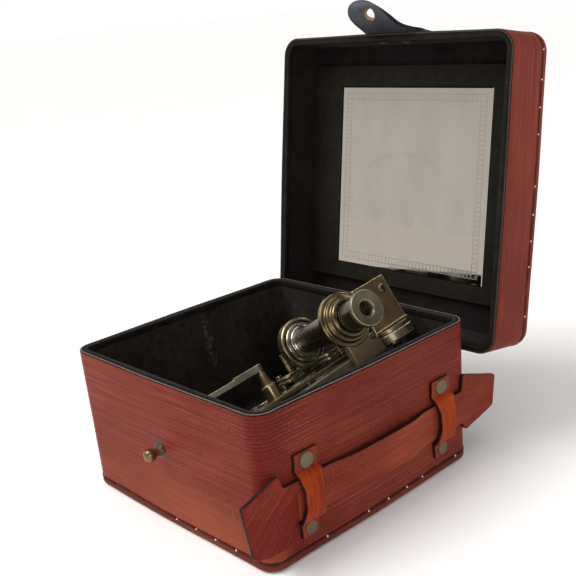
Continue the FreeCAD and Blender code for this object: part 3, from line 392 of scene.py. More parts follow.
def rim_leather(name, pale_amt):
    """Black binding; a pale line runs along the middle of its top, partly worn leather and partly a painted highlight
    where the fold catches the light. UV: u along the rim, v across it.
    """
    k = Nodes(name)
    uv = k.coords("UV")
    u_, v_, _ = k.sep(uv)
    g = k.voronoi(uv, 1500.0, "F1")
    n1 = k.noise(uv, 90.0, 4.0, 0.6)
    n2 = k.noise(uv, 800.0, 3.0, 0.6)
    c = k.ramp(k.math("ADD", k.math("MULTIPLY", n1, 0.6), k.math("MULTIPLY", n2, 0.4)), [(0.35, (0.004, 0.0035, 0.003)), (0.65, (0.014, 0.012, 0.0105))])
    vv = k.math("ADD", v_, k.math("MULTIPLY", k.math("SUBTRACT", n1, 0.5), 0.0007))
    # pale line along the top: partly wear, partly painted highlight; pale_amt sets its strength
    pale = k.math("MULTIPLY", k.maprange(vv, 0.00085, 0.00110), k.maprange(vv, 0.00165, 0.00195, 1.0, 0.0))
    pale = k.math("MULTIPLY", pale, k.maprange(n2, 0.30, 0.60, 0.35 * pale_amt, pale_amt))
    c = k.mix(pale, c, (0.170, 0.152, 0.126))
    inner = k.math("MULTIPLY", k.maprange(vv, 0.0034, 0.0038), k.maprange(vv, 0.0048, 0.0056, 1.0, 0.0))
    c = k.mix(k.math("MULTIPLY", inner, 0.35 * pale_amt), c, (0.046, 0.042, 0.036))
    return k.set(color=c, rough=k.maprange(n2, 0.3, 0.7, 0.55, 0.72, False),
                 normal=k.bump(k.math("ADD", g, k.math("MULTIPLY", n2, 0.6)), 0.35, 0.0002), spec=0.05)


# the pale line (wear and painted highlight) is full on the case's rim and faint on the lid's
M_BIND = rim_leather("black_rim_binding", 1.0)
M_BINDLID = rim_leather("black_lid_binding", 0.25)
M_STRAPLIN = dark_leather("strap_lining_blue_black", (0.012, 0.012, 0.018), (0.050, 0.050, 0.066), 0.42, 900.0, 0.5)
M_HINGE = dark_leather("brown_hinge_leather", (0.050, 0.009, 0.005), (0.150, 0.030, 0.016), 0.55, 1100.0, 0.5)
M_THREAD = dark_leather("thread_dark", (0.024, 0.006, 0.004), (0.080, 0.021, 0.013), 0.6, 4000.0, 0.6, spec=0.10)
M_THREADW = dark_leather("thread_pale", (0.60, 0.55, 0.49), (0.90, 0.86, 0.80), 0.6, 4000.0, 0.4)
M_LINING = cloth("black_lining_cloth", (0.0100, 0.0078, 0.0064), (0.031, 0.0250, 0.0210), scratch=True)
M_LIDLIN = cloth("lid_lining_cloth", (0.0060, 0.0044, 0.0040), (0.0190, 0.0145, 0.0130), tint=(0.0135, 0.0088, 0.0098))
M_OLIVE = cloth("olive_mirror_board", (0.0065, 0.0058, 0.0038), (0.0165, 0.0150, 0.0105), rough=0.62)
M_CARD = cloth("plain_card", (0.20, 0.15, 0.10), (0.32, 0.25, 0.18), rough=0.8)
M_BRASS = brass("antique_brass", (0.095, 0.070, 0.034), (0.24, 0.180, 0.090), 0.28, (0.050, 0.042, 0.026), 0.55, edge=(0.66, 0.57, 0.34))
# painted highlight: the frame's near-white edge colour stands in for the bright line along its top edge
M_FRAME = brass("frame_brass", (0.100, 0.083, 0.052), (0.21, 0.175, 0.112), 0.30, (0.070, 0.060, 0.044), 0.4, edge=(0.95, 0.92, 0.80), edge_amt=1.0, edge_r=0.0008)
M_BRACKET = brass("bracket_brass", (0.205, 0.143, 0.076), (0.320, 0.234, 0.132), 0.38, (0.155, 0.105, 0.060), 0.4, edge=(0.60, 0.50, 0.34), edge_amt=0.6, metal=0.76)
M_TEL = brass("telescope_brass", (0.130, 0.096, 0.044), (0.27, 0.208, 0.105), 0.20, (0.085, 0.060, 0.030), 0.5, metal=0.93, edge=(0.62, 0.53, 0.33), edge_amt=0.55, edge_r=0.0003,
              bands=((-60.0, -45.2, (0.28, 0.225, 0.115), (0.46, 0.385, 0.22), 0.24), (-45.2, -42.9, (0.33, 0.33, 0.31), (0.60, 0.60, 0.57), 0.14),
                     (-42.9, -2.2, (0.085, 0.066, 0.052), (0.165, 0.132, 0.100), 0.24)),
              axis=(TEL_O, TEL_D))
M_TUBE = brass("eyepiece_dark_bronze", (0.042, 0.031, 0.025), (0.100, 0.078, 0.058), 0.18, (0.13, 0.110, 0.072), 0.30, edge=(0.92, 0.84, 0.52), edge_amt=1.0, edge_r=0.0006,
               bands=((18.9, 30.0, (0.092, 0.077, 0.045), (0.165, 0.142, 0.088), 0.32),), axis=(TEL_O, TEL_D))
M_PLATE = brass("mirror_plate_brass", (0.190, 0.122, 0.054), (0.370, 0.262, 0.128), 0.34, (0.120, 0.076, 0.038), 0.6, edge=(0.97, 0.88, 0.58), edge_amt=1.0, edge_r=0.0009, metal=0.78)
# painted highlight: the foot plate is brighter, yellower brass than its neighbours, standing in for the golden glint
# along its edge
M_FOOTPLATE_PAINTED_HIGHLIGHT = brass("foot_plate_brass_painted_highlight", (0.26, 0.185, 0.060), (0.58, 0.45, 0.17), 0.18, (0.16, 0.12, 0.06), 0.45, edge=(0.90, 0.82, 0.55), edge_amt=0.9)
M_POST = brass("bright_brass", (0.105, 0.073, 0.036), (0.25, 0.184, 0.095), 0.24, (0.072, 0.048, 0.026), 0.5, edge=(0.85, 0.66, 0.34), edge_amt=0.8)
M_SCREW = brass("dark_screw", (0.070, 0.055, 0.040), (0.130, 0.105, 0.080), 0.22, None, edge=(0.80, 0.72, 0.52), edge_amt=1.0)
M_ARMB = brass("olive_brass", (0.050, 0.045, 0.032), (0.130, 0.118, 0.084), 0.30, (0.036, 0.032, 0.024), 0.6, edge=(0.60, 0.56, 0.42), edge_amt=0.9, edge_r=0.0006)
M_STUD = brass("stud_brass", (0.135, 0.082, 0.036), (0.27, 0.180, 0.085), 0.26, (0.095, 0.060, 0.032), 0.5, edge=(0.30, 0.22, 0.12), edge_amt=0.4,
               bands=((-0.5, 2.1, (0.040, 0.028, 0.018), (0.085, 0.060, 0.038), 0.40),), axis=((-0.002, -0.0763, 0.0430), (0.0, -0.9998, -0.0183)))
M_RIVET = brass("rivet_brass", (0.125, 0.100, 0.062), (0.205, 0.170, 0.112), 0.46, (0.10, 0.076, 0.048), 0.5)
M_SILVER = brass("silvered_scale", (0.34, 0.33, 0.30), (0.55, 0.53, 0.48), 0.32, (0.26, 0.24, 0.20), 0.4)


def wood_grip():
    k = Nodes("stained_wood_grip")
    v = k.coords("Object")
    w = k.wave(k.mapping(v, (1, 1, 1), rot=(0.3, 0.2, 0.35)), 260.0, 5.0, 3.0, 2.0, "X")
    f = k.noise(k.mapping(v, (1, 0.1, 1)), 900.0, 3.0)
    c = k.ramp(k.math("ADD", k.math("MULTIPLY", w, 0.6), k.math("MULTIPLY", f, 0.4)), [(0.2, (0.030, 0.012, 0.007)), (0.8, (0.12, 0.05, 0.026))])
    return k.set(color=c, rough=0.35, normal=k.bump(f, 0.2, 0.0001), coat=0.3, coat_rough=0.2)


def glass(name, tint, rough=0.04):
    k = Nodes(name)
    v = k.coords("Object")
    n = k.noise(v, 300.0, 3.0)
    c = k.ramp(n, [(0.3, tint), (0.7, tuple(min(1.0, t * 1.15) for t in tint))])
    rg = k.maprange(n, 0.3, 0.7, rough, rough + 0.06, False)
    return k.set(color=c, rough=rg, trans=0.85, ior=1.5)


def mirror_material():
    """Silvered mirror with a frosted double border of small links and a fine graduated arc. Its silver is painted a
    dull grey-brown, a painted reflection of the grey surroundings it faces.
    """
    k = Nodes("lid_mirror_silvered")
    v = k.coords("UV")                       # 0..1 over the mirror, u along X, v up the lid
    x, y, _ = k.sep(v)
    # distance to the nearest edge, in mirror widths
    ex = k.math("MINIMUM", x, k.math("SUBTRACT", 1.0, x))
    ey = k.math("MINIMUM", y, k.math("SUBTRACT", 1.0, y))
    e = k.math("MINIMUM", ex, ey)
    # position along the border, for the links
    horiz = k.math("LESS_THAN", ey, ex)
    along = k.math("ADD", k.math("MULTIPLY", x, horiz), k.math("MULTIPLY", y, k.math("SUBTRACT", 1.0, horiz)))
    c = k.math("ABSOLUTE", k.math("SUBTRACT", k.math("FRACT", k.math("MULTIPLY", along, 42.0)), 0.5))
    tick = k.maprange(c, 0.30, 0.36, 0.0, 1.0)
    def line(at, w):
        return k.maprange(k.math("ABSOLUTE", k.math("SUBTRACT", e, at)), w * 0.6, w, 1.0, 0.0)
    l1, l2 = line(0.036, 0.0040), line(0.070, 0.0040)
    band = k.math("MULTIPLY", k.maprange(e, 0.036, 0.038), k.maprange(e, 0.068, 0.070, 1.0, 0.0))
    link = k.math("MULTIPLY", band, k.math("MULTIPLY", tick, 0.75))
    border = k.math("MAXIMUM", k.math("MAXIMUM", l1, l2), link, clamp=True)
    # fine graduated arc in the lower half
    dx = k.math("SUBTRACT", x, 0.46)
    dy = k.math("SUBTRACT", y, 0.24)
    r = k.math("SQRT", k.math("ADD", k.math("MULTIPLY", dx, dx), k.math("MULTIPLY", dy, dy)))
    ang = k.math("ARCTAN2", dx, dy)
    inside = k.math("MULTIPLY", k.maprange(k.math("ABSOLUTE", ang), 0.68, 0.69, 1.0, 0.0), k.maprange(dy, 0.02, 0.03, 0.0, 1.0))
    a1 = k.maprange(k.math("ABSOLUTE", k.math("SUBTRACT", r, 0.41)), 0.0014, 0.0032, 1.0, 0.0)
    tk = k.math("LESS_THAN", k.math("ABSOLUTE", k.math("SUBTRACT", k.math("FRACT", k.math("MULTIPLY", ang, 38.0)), 0.5)), 0.10)
    tb = k.math("MULTIPLY", tk, k.math("MULTIPLY", k.maprange(r, 0.383, 0.387), k.maprange(r, 0.407, 0.411, 1.0, 0.0)))
    arc = k.math("MULTIPLY", k.math("MAXIMUM", a1, tb), inside)
    spoke = k.math("MULTIPLY", k.maprange(k.math("ABSOLUTE", k.math("SUBTRACT", ang, -0.60)), 0.003, 0.008, 1.0, 0.0),
                   k.math("MULTIPLY", k.maprange(r, 0.03, 0.035), k.maprange(r, 0.405, 0.41, 1.0, 0.0)))
    spoke2 = k.math("MULTIPLY", k.maprange(k.math("ABSOLUTE", k.math("SUBTRACT", ang, 0.10)), 0.003, 0.008, 1.0, 0.0),
                    k.math("MULTIPLY", k.maprange(r, 0.02, 0.025), k.maprange(r, 0.405, 0.41, 1.0, 0.0)))
    fig = k.math("MAXIMUM", arc, k.math("MAXIMUM", spoke, spoke2))
    frost = k.math("MAXIMUM", k.math("MULTIPLY", border, 0.20), k.math("MULTIPLY", fig, 0.15), clamp=True)
    smear = k.noise(k.mapping(v, (3.0, 1.4, 1), rot=(0, 0, 0.5)), 2.2, 5.0, 0.6)
    # painted reflection: the dull grey-brown silver stands in for the grey surroundings the mirror reflects
    colr = k.mix(frost, k.ramp(smear, [(0.3, (0.385, 0.345, 0.295)), (0.7, (0.425, 0.385, 0.335))]), (0.085, 0.078, 0.066))
    rg = k.math("ADD", k.math("MULTIPLY", frost, 0.50), k.maprange(smear, 0.35, 0.75, 0.02, 0.13, False))
    mt = k.maprange(frost, 0.0, 1.0, 1.0, 0.15, False)
    return k.set(color=colr, rough=rg, metal=mt)


M_GRIP = wood_grip()
M_LENS = glass("lens_glass", (0.80, 0.86, 0.84))
M_EYELENS = glass("eye_lens_glass", (0.16, 0.11, 0.075), 0.22)
M_SHADE = glass("shade_glass", (0.10, 0.13, 0.07), 0.05)
M_SHADE2 = glass("shade_glass_amber", (0.22, 0.12, 0.03), 0.05)
M_MIRROR = mirror_material()


def small_mirror():
    k = Nodes("small_mirror_silvered")
    v = k.coords("Object")
    n = k.noise(v, 120.0, 4.0)
    return k.set(color=k.ramp(n, [(0.3, (0.62, 0.60, 0.57)), (0.7, (0.78, 0.76, 0.73))]), metal=1.0,
                 rough=k.maprange(n, 0.3, 0.7, 0.03, 0.12, False))


M_SMALLMIR = small_mirror()


# ------------------------------------------------------------------ mesh tools
def make(name, verts, faces, mats, body, uvs=None, mat_index=None, smooth=True, scale=MM):
    me = bpy.data.meshes.new(name)
    me.from_pydata([tuple(c * scale for c in v) for v in verts], [], faces)
    me.validate(clean_customdata=False)
    ob = bpy.data.objects.new(name, me)
    bpy.context.collection.objects.link(ob)
    for m in (mats if isinstance(mats, (list, tuple)) else [mats]):
        me.materials.append(m)
    if mat_index is not None:
        me.polygons.foreach_set("material_index", mat_index)
    if uvs is not None:
        layer = me.uv_layers.new(name="UVMap")
        for p in me.polygons:
            for li in p.loop_indices:
                layer.data[li].uv = uvs[me.loops[li].vertex_index]
    if smooth:
        me.polygons.foreach_set("use_smooth", [True] * len(me.polygons))
    if body:
        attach(ob, body)
    return ob


def sharp(ob, angle=40.0):
    """Smooth shading that keeps hard edges."""
    me = ob.data
    bm = bmesh.new()
    bm.from_mesh(me)
    for e in bm.edges:
        if len(e.link_faces) == 2:
            e.smooth = e.calc_face_angle(0.0) < math.radians(angle)
    bm.to_mesh(me)
    bm.free()
    return ob


def outline(hw, hd, r, bow=0.0, seg=3.2, arc=9, counts=None):
    """Rounded rectangle, counter-clockwise from the back-left corner down the left side: (x, y, nx, ny, s)."""
    out = []
    s = 0.0
    sides = [((-hw, hd - r), (-hw, -hd + r), (-1, 0)), ((-hw + r, -hd), (hw - r, -hd), (0, -1)),
             ((hw, -hd + r), (hw, hd - r), (1, 0)), ((hw - r, hd), (-hw + r, hd), (0, 1))]
    cen = [(-hw + r, -hd + r, 180), (hw - r, -hd + r, 270), (hw - r, hd - r, 0), (-hw + r, hd - r, 90)]
    for j, ((p, q, n), (cx, cy, a0)) in enumerate(zip(sides, cen)):
        L = math.hypot(q[0] - p[0], q[1] - p[1])
        k = counts[j % 2] if counts else max(2, round(L / seg))
        for i in range(k):
            t = i / k
            b = bow * math.sin(math.pi * t) ** 2
            out.append((p[0] + (q[0] - p[0]) * t + n[0] * b, p[1] + (q[1] - p[1]) * t + n[1] * b, n[0], n[1], s + L * t))
        s += L
        for i in range(arc):
            a = math.radians(a0 + 90.0 * i / arc)
            out.append((cx + r * math.cos(a), cy + r * math.sin(a), math.cos(a), math.sin(a), s + r * math.pi / 2 * i / arc))
        s += r * math.pi / 2
    return out, s


def wobble(p, amp, wave, seed=0.0):
    return amp * noise.noise(Vector((p[0] / wave + seed, p[1] / wave + seed * 1.7, p[2] / wave - seed)))


def case_ring(z, off=0.0, bow=BOW, w=BOX_W, d=BOX_D, amp=0.12, cy=0.0, seed=3.0):
    t = TAPER * (1.0 - z / BOX_H)
    r = R_BASE + (R_TOP - R_BASE) * z / BOX_H
    pts, per = outline(w / 2 - t, d / 2 - t, r, bow, counts=(42, 41))
    out = []
    for x, y, nx, ny, s in pts:
        a = off + (wobble((x, y, z), amp, 26.0, seed) if amp else 0.0)
        out.append(((x + nx * a, y + ny * a + cy, z), s))
    return out, per


def ring_shell(rows, closed_profile=True, cap_first=False, cap_last=False, uvv=None):
    """Rows of loops joined into a skin. Returns verts, faces, uvs (metres)."""
    verts, uvs, faces = [], [], []
    n = len(rows[0])
    m = len(rows)
    acc = 0.0
    for j, row in enumerate(rows):
        if j:
            a, b = rows[j - 1][0][0], row[0][0]
            acc += math.dist(a, b)
        for (p, s) in row:
            verts.append(p)
            uvs.append((s * MM, (uvv[j] if uvv else acc) * MM))
    for j in range(m if closed_profile else m - 1):
        k = (j + 1) % m
        for i in range(n):
            i2 = (i + 1) % n
            faces.append((j * n + i, j * n + i2, k * n + i2, k * n + i))
    if cap_first:
        faces.append(tuple(reversed(range(n))))
    if cap_last:
        faces.append(tuple(range((m - 1) * n, m * n)))
    return verts, faces, uvs


def fix_normals(ob):
    bm = bmesh.new()
    bm.from_mesh(ob.data)
    bmesh.ops.recalc_face_normals(bm, faces=bm.faces)
    bm.to_mesh(ob.data)
    bm.free()
    return ob


# ------------------------------------------------------------------ case leather
rows, uvv = [], []
for z, off in [(5.30, -0.55), (5.32, -0.30), (5.55, -0.08), (6.1, 0.0)]:
    rows.append(case_ring(z, off)[0]); uvv.append(z)
for i in range(1, 34):
    z = 6.1 + (81.0 - 6.1) * i / 33
    rows.append(case_ring(z, 0.0)[0]); uvv.append(z)
rows.append(case_ring(81.22, -0.14)[0]); uvv.append(81.25)
rows.append(case_ring(81.30, -0.50)[0]); uvv.append(81.5)
for z in (81.30, 60.0, 40.0, 20.0, 5.30):
    rows.append(case_ring(z, -1.25, amp=0.0)[0]); uvv.append(z)
v, f, u = ring_shell(rows, True, uvv=uvv)
wall = fix_normals(make("wall_leather", v, f, M_WALL, "case", u))
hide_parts("case_leather")

# leather base: a lip that stands a little proud of the walls, rolled under at the bottom
rows = []
prof = [(4.62, -0.9), (4.70, -0.35), (4.66, 0.05), (4.2, 0.30), (3.2, 0.42), (2.1, 0.36), (1.2, 0.0), (0.55, -0.8), (0.15, -2.0), (0.02, -3.6), (0.0, -8.0), (0.0, -30.0), (0.0, -55.0)]
for z, off in prof:
    if off < -5:
        k = (BOX_W / 2 + off) / (BOX_W / 2)
        ring, _ = case_ring(max(z, 0.0), 0.0, amp=0.0)
        rows.append([((p[0] * k, p[1] * k, z), s) for p, s in ring])
    else:
        ring, _ = case_ring(z, off, amp=0.35, seed=9.0)
        rows.append([((p[0], p[1], z), s) for p, s in ring])
v, f, u = ring_shell(rows, False, cap_last=True)
base = fix_normals(make("base_leather", v, f, M_BASE, "case", u))
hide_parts("base_panel")

# stitches of the base seam: long dark stitches with a small pale loop between them
sv, sf, mi = [], [], []


def capsule(p, q, r, mat, out):
    """Short thread between two points, slightly flattened, with rounded ends."""
    a, b = Vector(p), Vector(q)
    d = (b - a)
    L = d.length
    d.normalize()
    o = Vector(out).normalized()
    up = d.cross(o)
    stations = [(0.0, 0.25), (0.08, 0.75), (0.2, 1.0), (0.5, 1.06), (0.8, 1.0), (0.92, 0.75), (1.0, 0.25)]
    n0 = len(sv)
    for t, k in stations:
        c = a + d * (L * t)
        for i in range(8):
            an = 2 * math.pi * i / 8
            sv.append(tuple(c + (o * math.cos(an) * 0.75 + up * math.sin(an)) * (r * k)))
    for j in range(len(stations) - 1):
        for i in range(8):
            i2 = (i + 1) % 8
            sf.append((n0 + j * 8 + i, n0 + j * 8 + i2, n0 + (j + 1) * 8 + i2, n0 + (j + 1) * 8 + i))
            mi.append(mat)
    sf.append(tuple(n0 + i for i in reversed(range(8)))); mi.append(mat)
    sf.append(tuple(n0 + (len(stations) - 1) * 8 + i for i in range(8))); mi.append(mat)


ring, per = case_ring(4.95, 0.0, amp=0.0)
pts = [p for p, s in ring]
ss = [s for p, s in ring]


def on_ring(s, off, z):
    s = s % per
    j = np.searchsorted(ss, s, side="right") - 1
    p, q = pts[j], pts[(j + 1) % len(pts)]
    s1 = ss[j + 1] if j + 1 < len(ss) else per
    t = (s - ss[j]) / max(1e-9, s1 - ss[j])
    x, y = p[0] + (q[0] - p[0]) * t, p[1] + (q[1] - p[1]) * t
    tx, ty = q[0] - p[0], q[1] - p[1]
    L = math.hypot(tx, ty)
    nx, ny = ty / L, -tx / L
    return (x + nx * off, y + ny * off, z), (nx, ny, 0)


pitch = 14.6
count = round(per / pitch)
rng = np.random.default_rng(4)
for i in range(count):
    s0 = per * i / count + rng.uniform(-0.9, 0.9)
    near = max(0.0, 1.0 - abs(s0 - 345.0) / 120.0)
    L = pitch * rng.uniform(0.66, 0.80)
    z = 5.0 + rng.uniform(-0.15, 0.15)
    tilt = rng.uniform(-0.22, 0.22)
    r = rng.uniform(0.66, 0.78)
    steps = 4
    for k in range(steps):
        a, n1 = on_ring(s0 + L * k / steps, 0.10, z + tilt * (k / steps - 0.5))
        b, n2 = on_ring(s0 + L * (k + 1.06) / steps, 0.10, z + tilt * ((k + 1) / steps - 0.5))
        capsule(a, b, r, 0, n1)
    if rng.uniform() < 0.34 + 0.55 * near:
        a, n1 = on_ring(s0 + L + 1.5, 0.30, z - 0.12)
        b, _ = on_ring(s0 + L + 2.3, 0.30, z + rng.uniform(-0.35, 0.15))
        capsule(a, b, rng.uniform(0.34, 0.50) + 0.16 * near, 1, n1)
seam = make("base_stitches", sv, sf, [M_THREAD, M_THREADW], "case", mat_index=mi, uvs=[(p[0] * MM, p[2] * MM) for p in sv])
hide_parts("base_seam_thread")

# lining, with straight walls, rolled over the top under the binding
rows, uvv = [], []
for z in (81.2, 70.0, 56.0, 42.0, 28.0, 15.0, 8.5):
    rows.append(case_ring(z, -3.58, bow=0.0, amp=0.0)[0]); uvv.append(z)
rows.append(case_ring(4.62, -3.58, bow=0.0, amp=0.0)[0]); uvv.append(4)
ring, _ = case_ring(4.62, -3.58, bow=0.0, amp=0.0)
for k in (0.7, 0.35):
    rows.append([((p[0] * k, p[1] * k, 4.62), s) for p, s in ring]); uvv.append(2)
v, f, u = ring_shell(rows, False, cap_last=True, uvv=uvv)
rows2 = []
for i in range(27):
    z = 81.2 - (81.2 - 8.5) * i / 26
    rows2.append(case_ring(z, -4.35 - 0.12, bow=0.0, amp=0.20, seed=17.0)[0])
for z, off in ((7.0, -4.5), (6.0, -5.1), (5.5, -6.4), (5.42, -9.0)):
    rows2.append(case_ring(z, off, bow=0.0, amp=0.20 if z > 6 else 0.0, seed=17.0)[0])
ring, _ = case_ring(5.42, -9.0, bow=0.0, amp=0.0)
for k in (0.85, 0.65, 0.45, 0.25):
    rows2.append([((p[0] * k, p[1] * k, 5.42 + wobble((p[0] * k, p[1] * k, 0), 0.15, 22.0)), s) for p, s in ring])
v2, f2, u2 = ring_shell(rows2, False, cap_last=True)
n0 = len(v)
# join the outer and inner skins along their top edges
n = len(rows[0])
allv = v + v2
allf = list(f) + [tuple(n0 + i for i in reversed(ff)) for ff in f2]
for i in range(n):
    i2 = (i + 1) % n
    allf.append((i, n0 + i, n0 + i2, i2))
lin = fix_normals(make("case_lining_cloth", allv, allf, M_LINING, "case", u + u2))
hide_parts("case_lining")


def rim_profile(width_in, leg):
    """Cross-section of the black rim: (depth below the top, offset from the wall's face). Two ridges with a groove between."""
    w0, w1 = -0.05, -width_in
    return [(0.78, w0 - 0.42), (0.62, w0 - 0.08), (0.40, w0), (0.17, w0 - 0.14), (0.06, w0 - 0.42), (0.05, w0 - 0.95), (0.13, w0 - 1.30), (0.34, w0 - 1.52),
            (0.34, w0 - 1.66), (0.12, w0 - 1.90), (0.02, w0 - 2.3), (0.0, w0 - 2.9), (0.04, w1 + 0.95), (0.16, w1 + 0.45), (0.50, w1 + 0.12), (1.1, w1),
            (leg - 0.5, w1 + 0.0), (leg, w1 + 0.06), (leg + 0.02, w1 + 0.30), (0.78, w1 + 0.42)]


def binding(name, ring_fn, mat, body, node, width_in=4.75, leg=3.7, wob=0.06):
    rows = []
    acc = []
    prof = rim_profile(width_in, leg)
    d = 0.0
    for j, (z, off) in enumerate(prof):
        if j:
            d += math.dist(prof[j - 1], prof[j])
        acc.append(d)
        row = []
        for i, (p, s) in enumerate(ring_fn(z, off)):
            dz = wobble((p[0], p[1], 0.0), wob, 11.0, 31.0) if 3 <= j <= 13 else (wobble((p[0], p[1], 0.0), wob * 4, 17.0, 3.0) if 16 <= j <= 18 else 0.0)
            row.append(((p[0], p[1], p[2] + dz), s))
        rows.append(row)
    v, f, u = ring_shell(rows, True, uvv=acc)
    ob = fix_normals(make(name, v, f, mat, body, u))
    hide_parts(node)
    return ob


def rim_ring(d, off):
    """The outer edge follows the bowed wall, the inner leg the straight lining."""
    k = min(1.0, max(0.0, (off + 4.3) / 2.6))
    return case_ring(82.0 - d, off, bow=BOW * k, amp=0.0)[0]


binding("rim_binding_leather", rim_ring, M_BIND, "case", "rim_binding")


# ------------------------------------------------------------------ lid
def lid_ring(d, off=0.0, bow=0.6, amp=0.1, seed=40.0):
    """Loop of the lid in the closed position, d behind its rim, then opened."""
    pts, per = outline(LID_W / 2, LID_D / 2, LID_R, bow, seg=3.4)
    out = []
    for x, y, nx, ny, s in pts:
        a = off + (wobble((x, y, d), amp, 30.0, seed) if amp else 0.0)
        out.append((open_pt((x + nx * a, y + ny * a + LID_CY, HZ + d)), s))
    return out


def open_pt(p):
    x, y, z = p
    dy, dz = y - HY, z - HZ
    c, s = math.cos(-OPEN), math.sin(-OPEN)
    return (x, HY + dy * c - dz * s, HZ + dy * s + dz * c)


rows, uvv = [], []
for d, off in ((0.70, -0.50), (0.78, -0.14), (1.0, 0.0)):
    rows.append(lid_ring(d, off)); uvv.append(d)
for i in range(1, 14):
    d = 1.0 + (27.4 - 1.0) * i / 13
    rows.append(lid_ring(d)); uvv.append(d)
rows.append(lid_ring(27.62, -0.35)); uvv.append(27.7)
for d in (27.62, 14.0, 0.70):
    rows.append(lid_ring(d, -1.25, amp=0.0)); uvv.append(d)
v, f, u = ring_shell(rows, True, uvv=uvv)
lw = fix_normals(make("lid_wall_leather", v, f, M_LIDSIDE, "lid", u))
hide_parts("lid_leather")

rows, uvv = [], []
for d, off in ((28.36, -0.9), (28.32, -0.3), (28.4, 0.1), (28.9, 0.22), (30.2, 0.18), (31.4, -0.1), (32.3, -0.7), (32.85, -1.6), (33.0, -3.0)):
    rows.append(lid_ring(d, off)); uvv.append(d)
c0 = [p for p, s in lid_ring(33.0, 0.0, 0.0, 0.0)]
pts, per_l = outline(LID_W / 2, LID_D / 2, LID_R, 0.0, seg=3.4)
for k in (0.92, 0.8, 0.65, 0.5, 0.35, 0.2, 0.08):
    row = []
    for x, y, nx, ny, s in pts:
        X, Y = x * k, y * k
        dd = 33.0 + 0.0
        row.append((open_pt((X, Y + LID_CY, HZ + dd - 0.05 + wobble((X, Y, 5.0), 0.05, 25.0))), s))
    rows.append(row); uvv.append(33 + (1 - k) * 86)
v, f, u = ring_shell(rows, False, cap_last=True, uvv=uvv)
# planar texture coordinates over the flat top
n = len(rows[0])
for i in range(len(v)):
    if i >= 8 * n:
        x, y, z = v[i]
        u[i] = (x * MM, (z - 58.0) * MM)
lt = fix_normals(make("lid_top_leather", v, f, M_LIDSIDE, "lid", u))
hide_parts("lid_top_panel")

sv, sf, mi = [], [], []
lring = lid_ring(28.0, 0.0, amp=0.0)
lp, ls = [Vector(p) for p, s in lring], [s for p, s in lring]
pts, per_l = outline(LID_W / 2, LID_D / 2, LID_R, 0.6, seg=3.4)
nn = [Vector(open_pt((nx, ny + HY, HZ))) - Vector(open_pt((0, HY, HZ))) for x, y, nx, ny, s in pts]


def on_lid(s):
    s = s % per_l
    j = int(np.searchsorted(ls, s, side="right")) - 1
    s1 = ls[j + 1] if j + 1 < len(ls) else per_l
    t = (s - ls[j]) / max(1e-9, s1 - ls[j])
    return lp[j].lerp(lp[(j + 1) % len(lp)], t), nn[j]


count = round(per_l / pitch)
for i in range(count):
    s0 = per_l * i / count + rng.uniform(-0.7, 0.7)
    L = pitch * rng.uniform(0.76, 0.86)
    for k in range(4):
        a, n1 = on_lid(s0 + L * k / 4)
        b, _ = on_lid(s0 + L * (k + 1.06) / 4)
        capsule(a, b, 0.42, 0, n1)
    if rng.uniform() < 0.8:
        a, n1 = on_lid(s0 + L + 0.9)
        b, _ = on_lid(s0 + L + 1.7)
        capsule(a + n1 * 0.2, b + n1 * 0.2, rng.uniform(0.38, 0.55), 1, n1)
ob = make("lid_stitches", sv, sf, [M_THREAD, M_THREADW], "lid", mat_index=mi, uvs=[(p[0] * MM, p[2] * MM) for p in sv])
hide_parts("lid_seam_thread")

# rim binding of the lid: the same section, its leg runs back along the inside
def lid_rim_ring(d, off):
    k = min(1.0, max(0.0, (off + 4.0) / 2.6))
    return lid_ring(d, off, bow=0.6 * k, amp=0.0)


binding("lid_binding_leather", lid_rim_ring, M_BINDLID, "lid", "lid_rim_binding", width_in=4.42, leg=3.85)


# ------------------------------------------------------------------ straps
def wall_pt(p, y, z):
    """A point p out from the right wall's leather, as the solids have it."""
    c, s = math.cos(WALL_A), math.sin(WALL_A)
    return (BOX_W / 2 - TAPER + p * c + z * s, y, -p * s + z * c)


def smoothstep(t):
    t = min(1.0, max(0.0, t))
    return t * t * (3 - 2 * t)


STRAP = [(-62.6, 23.0), (-63.9, 12.6), (-77.8, 13.8), (-88.2, 17.3), (-93.0, 45.6),
         (-69.8, 51.4), (-66.8, 43.9), (66.4, 43.1), (68.1, 52.4), (96.4, 43.2), (93.8, 25.1),
         (69.8, 18.8), (66.4, 24.2)]


def strap_bow(y):
    """How far the carrying strap stands out from the wall between its keepers."""
    a, b = -38.0, 37.0
    if y <= a or y >= b:
        return 0.0
    d = min(y - a, b - y)
    return 2.3 * smoothstep(d / 17.0) + 0.6 * math.sin(math.pi * (y - a) / (b - a)) ** 2


def round_poly(pts, r, k=4):
    """Round each corner of a polygon a little."""
    out = []
    n = len(pts)
    for i in range(n):
        p0, p1, p2 = Vector(pts[i - 1]).to_2d(), Vector(pts[i]).to_2d(), Vector(pts[(i + 1) % n]).to_2d()
        a, b = (p0 - p1), (p2 - p1)
        la, lb = a.length, b.length
        rr = min(r, la * 0.4, lb * 0.4)
        a.normalize(); b.normalize()
        s, e = p1 + a * rr, p1 + b * rr
        for j in range(k + 1):
            t = j / k
            q = s * (1 - t) ** 2 + p1 * 2 * t * (1 - t) + e * t * t
            out.append((q.x, q.y))
    return out


